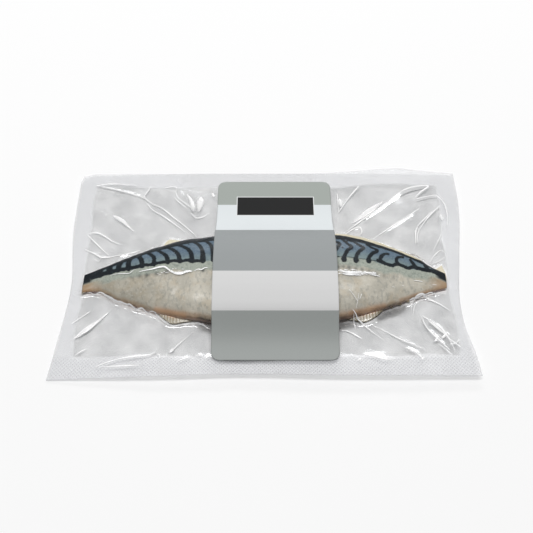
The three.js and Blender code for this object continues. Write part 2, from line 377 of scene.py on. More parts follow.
@dataclass
class Fillet:
    name: str
    node: str
    tail_x: float
    towards_head: int
    length: float
    back: object
    belly: object
    height: object
    lift: object  # how far the edge of the belly flap stands off the base film
    foot: object  # lower edge of the dark back band, by x
    back_line: object  # lower edge of the black line along the back, by x
    marks: list = field(default_factory=list)
    spots: list = field(default_factory=list)  # x, y, radius and strength of dark spots
    blush: list = field(default_factory=list)  # strength, radius and plan points of orange streaks
    trim: object = None  # where the pale cut edge along the back starts, by x
    tail_shade: float = 0.0  # how much darker the belly gets towards the tail

    def station(self, x):
        return (x - self.tail_x) * self.towards_head

    def section(self, x):
        s = self.station(x)
        back, belly = self.back(s), self.belly(s)
        return (back + belly) / 2, (back - belly) / 2, self.height(s)

    def top(self, x, y):
        """Height of the skin at plan points, and the bed's height beside the fillet."""
        s = self.station(x)
        centre, half, height = self.section(x)
        across = np.clip((y - centre) / half, -1, 1)
        cosine = (1 - np.sqrt(1 - 4 * CREST_SHIFT * (across - CREST_SHIFT))) / (2 * CREST_SHIFT)
        up = np.sqrt(np.clip(1 - cosine**2, 0, 1))
        skin = BED + EDGE_HEIGHT + (height - EDGE_HEIGHT) * up**TOP_ROUNDNESS
        inside = (s > 0) & (s < self.length) & (np.abs(y - centre) < half)
        return np.where(inside, skin, BED)


UPPER = Fillet(
    name="upper_fillet",
    node="fillet_upper",
    tail_x=-111.4,
    towards_head=1,
    length=145,
    back=smooth_through([
        (0, -6), (9, -2), (20, 3.2), (32, 8.4), (44, 13), (56, 16.8),
        (68, 19.2), (80, 20.2), (98, 22), (118, 19.5), (132, 14), (141, 5), (145, -6),
    ]),
    belly=smooth_through([
        (0, -18), (9, -17.8), (21, -23.3), (35, -28.8), (48, -33), (60, -35.6),
        (72, -37.4), (84, -39.6), (100, -40.6), (118, -38), (132, -31), (141, -21), (145, -10),
    ]),
    height=smooth_through([
        (0, 3.2), (8, 4.6), (20, 7), (40, 11), (60, 14), (80, 16), (100, 17.6),
        (118, 17.6), (134, 16), (145, 14.6),
    ]),
    lift=smooth_through([(0, 0), (56, 0.1), (72, 1.2), (84, 1.6), (98, 1.4), (112, 0), (145, 0)]),
    foot=smooth_through([
        (-111, -10.5), (-104, -8.6), (-96, -7.2), (-87, -6), (-79, -5.4), (-70.5, -4.5),
        (-64.5, -3.8), (-55.7, -3.4), (-44.7, -4.3), (-30, -4.4), (34, -4),
    ]),
    back_line=smooth_through([
        (-111, -9), (-104, -6.2), (-96, -3), (-88, -0.3), (-80, 2.6), (-72, 5.3), (-63.5, 7.4),
        (-55, 9.3), (-47, 10.6), (-38, 11.4), (34, 10.6),
    ]),
    marks=[
        Mark([(-106, -8.6), (-96, -6.6), (-87, -5.5), (-79, -4.9), (-74.5, -4.0), (-70.5, -4.2),
              (-64.5, -3.3), (-59.5, -3.2), (-55.7, -2.7), (-51.8, -3.4), (-48, -2.9),
              (-44.7, -3.7), (-38.5, -4.1)], (1.9, 1.2, 1.06)),
        Mark([(-101, -3.4), (-102.4, -6.2), (-101.5, -8)], (1.9, 1.9, 1.9)),
        Mark([(-94.5, 0.2), (-96, -3.2), (-95, -6.6)], (1.9, 1.9, 1.9)),
        Mark([(-88.7, 2.2), (-90.1, -1.8), (-90, -5.6)], (1.8, 1.8, 1.8)),
        Mark([(-83.4, 2.8), (-84.3, -1.8), (-83.4, -5.6)], (1.6, 1.7, 1.7)),
        Mark([(-79, 4.4), (-75.8, -1), (-75.1, -4.8)], (1.3, 1.5, 1.6)),
        Mark([(-72.8, 6), (-68.4, 0.6), (-68.2, -4.4)], (1.06, 1.24, 1.42)),
        Mark([(-68, 8.2), (-64.6, 5.2), (-60.7, 1.1), (-59.5, -3.8)], (0.94, 1.18, 1.42)),
        Mark([(-62.2, 9.8), (-57.6, 6.6), (-54.0, 2.6), (-52.1, -3.5)], (0.94, 1.18, 1.53)),
        Mark([(-56, 10.8), (-51, 8.2), (-46.4, 3.6), (-44.6, -4)], (0.94, 1.18, 1.53)),
        Mark([(-45, 11.8), (-41.2, 8.6), (-39.1, 4.1), (-38.1, -4.1)], (0.94, 1.18, 1.77)),
        Mark([(-37.4, 12.4), (-34.2, 8.2), (-32.6, 3), (-32, -4)], (0.94, 1.18, 1.42)),
        Mark([(-70, 9.4), (-62, 11.2), (-52, 10.4), (-46, 12.2)], (0.59, 0.59, 0.47)),
        Mark([(-53, 12.4), (-49.4, 11.6), (-47.4, 9.4)], (0.59, 0.47, 0.24)),
    ],
    tail_shade=0.4,
    spots=[
        (-81.1, -11.6, 1.5, 0.35), (-76.1, -11.8, 1.4, 0.6), (-71.7, -11.5, 1.5, 0.85),
        (-65.9, -11, 1.5, 0.7), (-59.9, -10.6, 1.7, 0.75), (-37.8, -10.9, 1.2, 1.0),
    ],
    blush=[
        (0.8, 1.4, [(-65.5, -31.6), (-58, -33.6), (-48, -36)]),
        (0.4, 2.4, [(-60, -34), (-50, -36.6), (-42, -38)]),
        (0.4, 0.9, [(-104, -18.6), (-96, -21.4)]),
        (0.4, 0.8, [(-90, -24.4), (-82, -27.2), (-74, -29.6)]),
    ],
)

LOWER = Fillet(
    name="lower_fillet",
    node="fillet_lower",
    tail_x=109.4,
    towards_head=-1,
    length=143,
    back=smooth_through([
        (0, -5), (7, -1), (16, 5.6), (29, 12), (43, 18.2), (59, 22), (68, 23),
        (90, 24), (112, 22.4), (128, 17), (138, 7), (143, -6),
    ]),
    belly=smooth_through([
        (0, -15), (10, -18), (23, -23), (33, -27.4), (45, -31.4), (57, -34.8),
        (68, -37.2), (90, -37.2), (112, -34.6), (128, -29), (138, -19), (143, -9),
    ]),
    height=smooth_through([
        (0, 3.4), (8, 4.8), (20, 7.4), (40, 11.4), (58, 14.2), (72, 14.6), (90, 11.4),
        (110, 7.4), (128, 4.4), (143, 3),
    ]),
    lift=smooth_through([(0, 0), (40, 0.1), (56, 0.6), (68, 1.1), (78, 0.8), (96, 0), (143, 0)]),
    foot=smooth_through([
        (-34, -1), (42, -1), (52, -1), (64, -2.4), (71, -4.2), (79, -3.6), (86, -5.4),
        (95, -5.4), (102, -5.8), (109, -8.6),
    ]),
    back_line=smooth_through([
        (-34, 12), (42, 13.8), (50, 13.1), (58, 11.2), (67, 9.2), (75.5, 7.2), (84, 4.4),
        (92, 1), (100, -2), (109, -6.4),
    ]),
    marks=[
        Mark([(40.5, 12), (44.6, 9.6), (43.1, 6.4), (41, 3)], (0.94, 1.3, 1.18)),
        Mark([(46.6, 13.6), (49.4, 10.4), (52, 7.6), (49.3, 4.4), (47.6, 1), (46.7, -2.4)],
             (0.83, 1.18, 1.18)),
        Mark([(54.2, 11.6), (56.8, 9.2), (59.3, 7.2), (56.4, 4.2), (54.7, 1), (54.1, -2.3)],
             (0.83, 1.18, 1.18)),
        Mark([(61.6, 10), (64.8, 8), (67.7, 6.3), (64.2, 3), (62.4, 0.4), (61.8, -2.2)],
             (0.83, 1.18, 1.18)),
        Mark([(46.6, -1.8), (46.6, -3)], (1.65, 1.77, 1.65)),
        Mark([(54, -1.8), (54, -3)], (1.65, 1.77, 1.65)),
        Mark([(61.7, -1.8), (61.7, -2.8)], (1.65, 1.77, 1.65)),
        Mark([(74.6, 4.4), (72.4, 4.1), (69.8, 1.6), (69.2, -1), (71.3, -3)], (0.83, 1.18, 1.18)),
        Mark([(83.6, 3.4), (81.6, 3.1), (79.6, 1.6), (79.2, -0.8), (80.6, -3)], (0.83, 1.06, 1.18)),
        Mark([(88.2, 1.8), (89.5, -0.8), (91.2, -4)], (0.94, 1.3, 1.42)),
        Mark([(97.2, -1.2), (98.6, -3), (99.6, -4.6)], (1.06, 1.42, 1.53)),
        Mark([(67.6, -1.6), (71.3, -3.1), (76.2, -4.1), (79.6, -2.8), (82.5, -3.6), (86.3, -4.8),
              (88.9, -3.6), (91.4, -3.8), (95.5, -4.4), (101.3, -4.6), (107, -6.8)],
             (1.3, 1.18, 1.89)),
        Mark([(42, -0.7), (52, -0.7), (57.5, -1.4), (64, -1.9), (69, -2)], (0.29, 0.24, 0.29)),
        Mark([(50, 13.2), (54, 12.6), (58.6, 11.6)], (0.47, 0.35, 0.24)),
        Mark([(48, 12.2), (51.8, 12.4), (54, 11.6)], (0.59, 0.47, 0.35)),
        Mark([(46.2, 6.4), (46.4, 6.2)], (0.53, 0.53, 0.53)),
    ],
    tail_shade=0.08,
    spots=[
        (42.4, -8.2, 1.6, 1.0), (46, -7.8, 1.2, 0.6), (49.5, -8.2, 1.3, 0.75), (53.4, -8.4, 1.2, 0.6),
        (57.2, -9, 1.2, 0.7), (61.4, -9.8, 1.1, 0.6), (65.6, -11.2, 1.3, 0.6), (70.4, -12, 1.2, 0.45),
        (76, -12.6, 1.2, 0.35),
    ],
    blush=[
        (0.7, 1.5, [(70, -29.2), (60, -32.4), (49, -35.4)]),
        (0.4, 2.4, [(62, -33.2), (52, -36), (44, -37)]),
        (0.4, 0.9, [(98, -18.4), (90, -21), (80, -24.8)]),
    ],
    trim=smooth_through([
        (-34, 17), (42, 18.6), (50.4, 17), (58.7, 14.6), (67, 12.4), (75.5, 10), (83.7, 7.1),
        (91.9, 3.4), (100, 2), (109, -2),
    ]),
)


def fillet_places(fillet, u, v):
    """Points round a fillet. v starts and ends under its middle and passes the back first."""
    eased = u - END_EASING * np.sin(2 * math.pi * u) / math.pi
    s = eased * fillet.length
    side = (1 - SKIN_SHARE) / 2
    turn = np.interp(v, (0, side, 1 - side, 1), (-0.5, 0, 1, 1.5)) * math.pi
    across, up = np.cos(turn), np.sin(turn)
    x = fillet.tail_x + fillet.towards_head * s
    centre, half, height = fillet.section(x)
    edge = BED + EDGE_HEIGHT
    skin_y = centre + half * (across + CREST_SHIFT * up**2)
    skin_z = edge + (height - EDGE_HEIGHT) * np.abs(up) ** TOP_ROUNDNESS
    flesh_y = centre + half * np.sign(across) * np.abs(across) ** BOTTOM_CORNER_ACROSS
    flesh_z = edge - EDGE_HEIGHT * np.abs(up) ** BOTTOM_CORNER_UP
    y = np.where(up >= 0, skin_y, flesh_y)
    z = np.where(up >= 0, skin_z, flesh_z)
    flap = fillet.lift(s) * smooth_step(0.1, 1, -across)
    z = z + flap
    y = y - FLAP_SPREAD * flap
    if fillet is UPPER:
        support = LOWER.top(x, y) + OVERLAP_GAP
        lying = support > BED + OVERLAP_GAP + 0.01
        floor = np.where(up >= 0, support + LEAST_THICKNESS * up, support)
        z = np.where(lying, np.maximum(z, floor), z)
    return np.stack([x, y, z], 1)


def ink_distance(fillet, plan):
    """How far each plan point is from the dark marks, in millimetres, and negative inside them."""
    nearest = np.full(len(plan), INK_REACH)
    for mark in fillet.marks:
        route = route_through(mark.points)
        distance, share = distance_to_route(plan, route, INK_REACH + max(mark.widths))
        nearest = np.minimum(nearest, distance - np.interp(share, (0, 0.5, 1), mark.widths))
    return np.minimum(nearest, fillet.back_line(plan[:, 0]) - plan[:, 1])


def spot_strength(fillet, plan):
    strength = np.zeros(len(plan))
    for x, y, radius, depth in fillet.spots:
        distance = np.hypot(plan[:, 0] - x, plan[:, 1] - y)
        strength = np.maximum(strength, depth * np.exp(-((distance / radius) ** 2)))
    return strength


def blush_strength(fillet, plan):
    strength = np.zeros(len(plan))
    for depth, radius, points in fillet.blush:
        distance = distance_to_route(plan, route_through(points), 3 * radius)[0]
        strength = np.maximum(strength, depth * np.exp(-((distance / radius) ** 2)))
    return strength


def build_fillet(fillet, material):
    bm = bmesh.new()
    add_sheet(bm, SKIN_CELLS_ALONG, SKIN_CELLS_AROUND, lambda u, v: fillet_places(fillet, u, v))
    bmesh.ops.remove_doubles(bm, verts=bm.verts, dist=0.002 * MM)
    ends = bmesh.ops.holes_fill(bm, edges=bm.edges, sides=0)["faces"]
    bmesh.ops.poke(bm, faces=ends)
    bmesh.ops.recalc_face_normals(bm, faces=bm.faces)
    body = finish_piece(bm, fillet.name, fillet.node, material)
    mesh = body.data
    places, normals = places_of(mesh), normals_of(mesh)
    skin = smooth_step(-0.3, 0.3, normals[:, 2])
    swell = 0.16 * ripple(places, 16, seed=3) + 0.05 * ripple(places, 5, seed=4)
    hold = smooth_step(0, 6, fillet.station(places[:, 0]))
    move_to(mesh, places + normals * (swell * skin * hold)[:, None])
    plan = places[:, :2]
    centre, half, _ = fillet.section(plan[:, 0])
    keep_value(mesh, "ink", ink_distance(fillet, plan))
    keep_value(mesh, "above_foot", plan[:, 1] - fillet.foot(plan[:, 0]))
    if fillet.trim is not None:
        keep_value(mesh, "past_trim", plan[:, 1] - fillet.trim(plan[:, 0]))
    keep_value(mesh, "from_belly", plan[:, 1] - (centre - half))
    keep_value(mesh, "from_tail", fillet.station(plan[:, 0]))
    keep_value(mesh, "spot", spot_strength(fillet, plan))
    keep_value(mesh, "blush", blush_strength(fillet, plan))
    keep_value(mesh, "skin", skin)
    return body


def skin_material(fillet, settings):
    shader = Shader(fillet.name + "_skin")
    fine = shader.noise(0.9, 4)
    cloud = shader.noise(9, 3)
    ragged = shader.math("MULTIPLY_ADD", shader.noise(1.6, 3), 1.2, -0.6)
    ink = shader.math("ADD", shader.value("ink"), ragged)
    above = shader.value("above_foot")
    foot = shader.math("ADD", above, ragged)
    skin = shader.value("skin")

    def share(mask, strength):
        return shader.math("MULTIPLY", mask, strength)

    # Belly, from cool silver to warm beige, with wavy marks over the muscle and painted glints
    belly = shader.mix(shader.fade(cloud, 0.35, 0.65), tuple(settings.belly), from_srgb(200, 195, 182))
    belly = shader.mix(shader.mottle(7, 0.48, 0.66, 0.35), belly, from_srgb(188, 172, 146))
    marks = shader.noise(2.4, 2, scale=(1.3, 0.75, 1), turn=0.9)
    belly = shader.mix(share(shader.fade(marks, 0.5, 0.66), 0.4), belly, from_srgb(138, 139, 134))
    towards_tail = shader.fade(shader.value("from_tail"), 75, 20)
    belly = shader.mix(share(towards_tail, fillet.tail_shade), belly, from_srgb(122, 116, 100))
    # Painted highlights: small light specks painted into the belly colour as glints
    painted_glints = shader.mottle(1.3, 0.54, 0.72, 0.25)
    belly = shader.mix(painted_glints, belly, from_srgb(222, 220, 210))

    # Greenish silver flank under the dark bars
    flank = shader.mix(shader.fade(fine, 0.3, 0.7), tuple(settings.flank), from_srgb(172, 177, 166))
    flank = shader.mix(shader.mottle(2.4, 0.48, 0.68, 0.5), flank, from_srgb(122, 130, 122))
    lower = shader.math("MULTIPLY_ADD", shader.noise(4, 2), 4.0, above)
    colour = shader.mix(shader.fade(lower, -5.6, -2.6), belly, flank)

    # Blue back, paler and greener towards the foot of the bars
    blue = shader.mix(shader.fade(foot, 0.5, 8.0), from_srgb(122, 138, 138), tuple(settings.back))
    blue = shader.mix(share(shader.fade(fine, 0.35, 0.75), 0.5), blue, from_srgb(124, 142, 152))
    blue = shader.mix(shader.mottle(2.2, 0.5, 0.7, 0.5), blue, from_srgb(70, 90, 104))
    colour = shader.mix(shader.fade(foot, -0.6, 0.8), colour, blue)
    dark = shader.mix(shader.fade(fine, 0.45, 0.85), tuple(settings.ink), from_srgb(34, 48, 56))
    colour = shader.mix(shader.fade(ink, 0.4, -0.3), colour, dark)
    colour = shader.mix(share(shader.value("spot"), 0.9), colour, from_srgb(52, 60, 60))

    # Warm lower edge and tail, with painted shade in a dark line along the very belly edge
    edge = shader.math("ADD", shader.value("from_belly"), shader.math("MULTIPLY_ADD", cloud, 3.0, -1.5))
    colour = shader.mix(share(shader.fade(edge, 2.4, 0.2), 0.45), colour, from_srgb(166, 134, 100))
    # Painted shade: a dark line along the very belly edge, where the shadow under the edge falls
    colour = shader.mix(share(shader.fade(edge, 0.3, -0.6), 0.75), colour, from_srgb(58, 54, 50))
    blush = shader.math("MULTIPLY", shader.value("blush"), shader.fade(cloud, 0.1, 0.5))
    colour = shader.mix(share(blush, 0.75), colour, from_srgb(196, 146, 104))
    tail = shader.math("ADD", shader.value("from_tail"), shader.math("MULTIPLY_ADD", cloud, 6.0, -3.0))
    below = shader.fade(above, -2.0, -4.5)
    stain = shader.math("MULTIPLY", shader.fade(tail, 14, 1), below)
    colour = shader.mix(share(stain, 0.75), colour, from_srgb(166, 130, 92))
    nose = shader.math("MULTIPLY", shader.fade(tail, 7, 3.5), shader.fade(above, -4.0, -2.0))
    colour = shader.mix(nose, colour, tuple(settings.ink))
    if fillet.trim is not None:
        trim = shader.math("ADD", shader.value("past_trim"), share(ragged, 0.4))
        colour = shader.mix(shader.fade(trim, -0.15, 0.15), colour, from_srgb(206, 198, 172))

    flesh_bands = shader.noise(3.2, 2, scale=(1.4, 0.35, 1), turn=0.5)
    flesh = shader.mix(shader.fade(flesh_bands, 0.4, 0.62), from_srgb(196, 160, 146), tuple(settings.flesh))
    bloodline = shader.math("ABSOLUTE", shader.math("ADD", above, 4.0))
    flesh = shader.mix(share(shader.fade(bloodline, 7.5, 1.5), 0.75), flesh, from_srgb(128, 66, 58))
    colour = shader.mix(skin, flesh, colour)

    scales = shader.cells(1.0, scale=(1, 1.3, 1))
    normal = shader.bump(scales, 0.35, 0.08)
    normal = shader.bump(shader.noise(0.8, 3, roughness=0.65), 0.5, 0.22, normal)
    normal = shader.bump(shader.noise(4, 2, turn=0.3), 0.25, 0.4, normal)
    shader.set(
        Base_Color=colour,
        Roughness=shader.math("MULTIPLY_ADD", fine, 0.25, 0.35),
        Normal=normal,
        Specular_IOR_Level=0.25,
        Coat_Weight=0.08,
        Coat_Roughness=0.12,
    )
    return shader.material


# ------------------------------------------------------------------------------------------------
# Fins
# ------------------------------------------------------------------------------------------------

FIN_THICKNESS = 0.5
FIN_CELLS_PER_RAY = 12
FIN_CELLS_OUTWARDS = 24


@dataclass
class Fin:
    """A fin pressed flat: its base and its outer edge as plan points, and how many rays it has."""

    name: str
    node: str
    base: list
    edge: list
    rays: int
    base_height: float
    edge_height: float
    pale: bool = False


FINLETS = ((74.4, -27.0), (79.6, -25.2), (84.8, -23.2), (89.8, -20.8))

FINS = [
    Fin("upper_fillet_anal_fin", "fillet_upper",
        [(-66.5, -29.8), (-57, -31.6), (-43, -34.4)],
        [(-65.5, -31.8), (-60.2, -36.4), (-56.4, -38.9), (-49, -38.0), (-41.5, -36.9)], 13, 2.4, 1.5),
    Fin("upper_fillet_back_fin", "fillet_upper",
        [(-66, 12.5), (-58, 15), (-49, 17)],
        [(-65.4, 14.4), (-61.2, 20.2), (-56.5, 19.8), (-48.5, 18.6)], 7, 2.6, 2.2, pale=True),
    Fin("upper_fillet_tail_stub", "fillet_upper",
        [(-106, -8), (-106.5, -17)],
        [(-111.2, -6), (-112.0, -12), (-111.9, -18.9)], 9, 2.2, 1.8),
    Fin("lower_fillet_anal_fin", "fillet_lower",
        [(71, -27.5), (60, -30.5), (46, -33.6)],
        [(70.2, -29.6), (64.6, -34.6), (57.6, -37.9), (51, -36.7), (45.6, -35.9)], 13, 2.4, 1.5),
    *(Fin(f"lower_fillet_finlet_{number}", "fillet_lower",
          [(x + 1.6, y + 1.0), (x - 1.4, y - 0.2)],
          [(x + 1.9, y + 0.3), (x + 0.9, y - 1.3), (x - 1.2, y - 0.9)], 3, 2.6, 1.2)
      for number, (x, y) in enumerate(FINLETS, 1)),
    Fin("lower_fillet_tail_stub", "fillet_lower",
        [(104, -2), (104.5, -15)],
        [(108.4, 1.4), (110.3, -6), (109.0, -15.6)], 11, 2.2, 1.8, pale=True),
]


def fin_places(fin, u, v):
    base = along_route(route_through(fin.base), u)
    edge = along_route(route_through(fin.edge), u)
    plan = base * (1 - v)[:, None] + edge * v[:, None]
    rays = 0.16 * np.abs(np.sin(math.pi * fin.rays * u)) * (1 - 0.5 * v)
    height = fin.base_height * (1 - v) + fin.edge_height * v + rays
    return np.column_stack([plan, height])


def build_fin(fin, material):
    bm = bmesh.new()
    shares = []

    def place(u, v):
        shares.extend((u, v))
        return fin_places(fin, u, v)

    add_sheet(bm, FIN_CELLS_PER_RAY * fin.rays, FIN_CELLS_OUTWARDS, place)
    bmesh.ops.recalc_face_normals(bm, faces=bm.faces)
    if sum(face.normal.z for face in bm.faces) < 0:
        bmesh.ops.reverse_faces(bm, faces=bm.faces)
    piece = finish_piece(bm, fin.name, fin.node, material)
    keep_value(piece.data, "ray", np.abs(np.sin(math.pi * fin.rays * shares[0])))
    keep_value(piece.data, "outwards", shares[1])
    add_thickness(piece, FIN_THICKNESS)
    return piece


def fin_material(name, base_colour, edge_colour):
    shader = Shader(name)
    patches = shader.math("MULTIPLY_ADD", shader.mottle(3, output="Cloud"), 0.5, -0.25)
    outwards = shader.math("ADD", shader.value("outwards"), patches)
    colour = shader.mix(shader.fade(outwards, 0.1, 0.75), base_colour, edge_colour)
    rays = shader.math("MULTIPLY", shader.fade(shader.value("ray"), 0.5, 0.0), 0.18)
    colour = shader.mix(rays, colour, from_srgb(132, 104, 76))
    shader.set(Base_Color=colour, Roughness=0.4, Coat_Weight=0.4, Coat_Roughness=0.2)
    return shader.material


# ------------------------------------------------------------------------------------------------
# Pouch
# ------------------------------------------------------------------------------------------------

POUCH_LOW, POUCH_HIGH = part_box("pouch_top_film")
POUCH_LEFT, POUCH_NEAR = POUCH_LOW[0] / MM, POUCH_LOW[1] / MM
POUCH_RIGHT, POUCH_FAR = POUCH_HIGH[0] / MM, POUCH_HIGH[1] / MM
FILM_CELLS_X = 270
FILM_CELLS_Y = 180
FILM_THICKNESS = 0.12
FILM_CLEARANCE = 0.12
BASE_RISE = 42
SIDE_RIM = 2  # height of the sealed rim at the middle of both side edges
RIM_REACH = 30  # the far and near rims' own heights set in this far from the middle

# How far the fish draw each edge of the pouch inwards, by the share of the way from near to far
# for the side edges, and from left to right for the others
LEFT_INSET = smooth_through([(0, 0), (0.12, 2.2), (0.26, 4.4), (0.42, 5.7), (0.66, 2.4), (1, 1.8)])
RIGHT_INSET = smooth_through([
    (0, 3.2), (0.1, 4.8), (0.21, 7.8), (0.34, 8.3), (0.55, 4.6), (0.84, 0), (1, 0.4),
])
NEAR_INSET = smooth_through([(0, 0), (0.28, 1), (0.42, 2.2), (0.69, 1.2), (1, 1.3)])
FAR_INSET = smooth_through([(0, 2.2), (0.2, 0.6), (0.6, 0), (0.88, 0), (1, 1.4)])

CORNER_INSET = 1.5  # extra inset that rounds the far left corner

# Heights of the wavy sealed rim along its near and far edges, by x
NEAR_RIM = smooth_through([
    (-125, 0.6), (-88, 3), (-54, 5), (0, 5.6), (60, 5.4), (100, 4.6), (122, 4),
])
FAR_RIM = smooth_through([(-125, 1.4), (52, 1.4), (70, 3.4), (86, 5.2), (104, 3.2), (124, 1.6)])
CLING_PASSES = 1
SEAL_LEFT = -112
SEAL_RIGHT = 112
SEAL_FAR = 63.5
SEAL_NEAR = -61.5
EMBOSS_START = -58  # the embossed mesh fades in from here
EMBOSS_FULL = -63
CLEAR_CLOUDS = 0.14  # how unevenly the clear film shows
RIM_CLOUDS = 0.04  # how unevenly the sealed rim shows
CLING_LOSS = 0.98  # share of the film's shine that is lost where it clings to wet skin
PLACES_AT_ONCE = 4000  # places whose distances to the fish are worked out together
PLACE_CORRECTIONS = 6
FISH_HALF_LENGTH = 116  # no fish lies past these
FISH_NEAR = -45
FISH_FAR = 30
DROP_HEIGHT = 0.05  # where rays start down towards the fish, in metres

# Broad folds of both films: height, half width and plan points
FOLDS = [
    (0.30, 2.6, [(-109, 42), (-104, 39.6)]),
    (0.30, 2.6, [(-101, 37.8), (-96, 34.2)]),
    (0.26, 2.4, [(-94, 32.2), (-88, 27.5)]),
    (0.30, 2.6, [(-58, 61), (-55, 55), (-51, 49), (-45, 43.5)]),
    (0.26, 2.4, [(-113, -50), (-104, -41), (-94, -31)]),
    (0.30, 2.8, [(92, -33), (101, -42), (111, -53)]),
]
# Painted shadow: the film is painted dark under the raised bellies between these distances from each tail
PAINTED_SHADOW_REACHES = ((UPPER, 66, 90), (LOWER, 48, 80), (LOWER, 22, 40))
PAINTED_SHADOW_FADE = 10
PAINTED_SHADOW_WIDTH = 8.5
PAINTED_SHADOW_SHARE = 0.12  # share of each face of the film that is painted dark there, as painted shadow
FOLD_BESIDE_CREASE = 1.9  # half width of the low fold that carries each sharp crease
FOLD_SHARE = 0.8  # height of that fold for each millimetre of the crease's own half width


def film_plan(u, v):
    """Plan place of a point of the pouch, with u from left to right and v from near to far."""
    left = POUCH_LEFT + LEFT_INSET(v) + CORNER_INSET * smooth_step(0.96, 1, v)
    right = POUCH_RIGHT - RIGHT_INSET(v)
    near = POUCH_NEAR + NEAR_INSET(u)
    far = POUCH_FAR - FAR_INSET(u) - CORNER_INSET * smooth_step(0.03, 0, u)
    return left + (right - left) * u, near + (far - near) * v


def film_share(x, y):
    """The u and v of plan points of the pouch, by a few steps of correction."""
    length, width = POUCH_RIGHT - POUCH_LEFT, POUCH_FAR - POUCH_NEAR
    u, v = (x - POUCH_LEFT) / length, (y - POUCH_NEAR) / width
    for _ in range(PLACE_CORRECTIONS):
        reached_x, reached_y = film_plan(u, v)
        u = u + (x - reached_x) / length
        v = v + (y - reached_y) / width
    return u, v


def rim_height(x, y):
    """Height of the wavy sealed rim."""
    near = smooth_step(RIM_REACH, -POUCH_NEAR, -y)
    far = smooth_step(RIM_REACH, POUCH_FAR, y)
    return SIDE_RIM + near * (NEAR_RIM(x) - SIDE_RIM) + far * (FAR_RIM(x) - SIDE_RIM)


def neighbour_mean(heights):
    padded = np.pad(heights, 1, mode="edge")
    return (padded[:-2, 1:-1] + padded[2:, 1:-1] + padded[1:-1, :-2] + padded[1:-1, 2:]) / 4


def neighbour_most(heights):
    padded = np.pad(heights, 1, mode="edge")
    rows, columns = heights.shape
    shifts = [padded[a:a + rows, b:b + columns] for a in range(3) for b in range(3)]
    return np.max(shifts, axis=0)


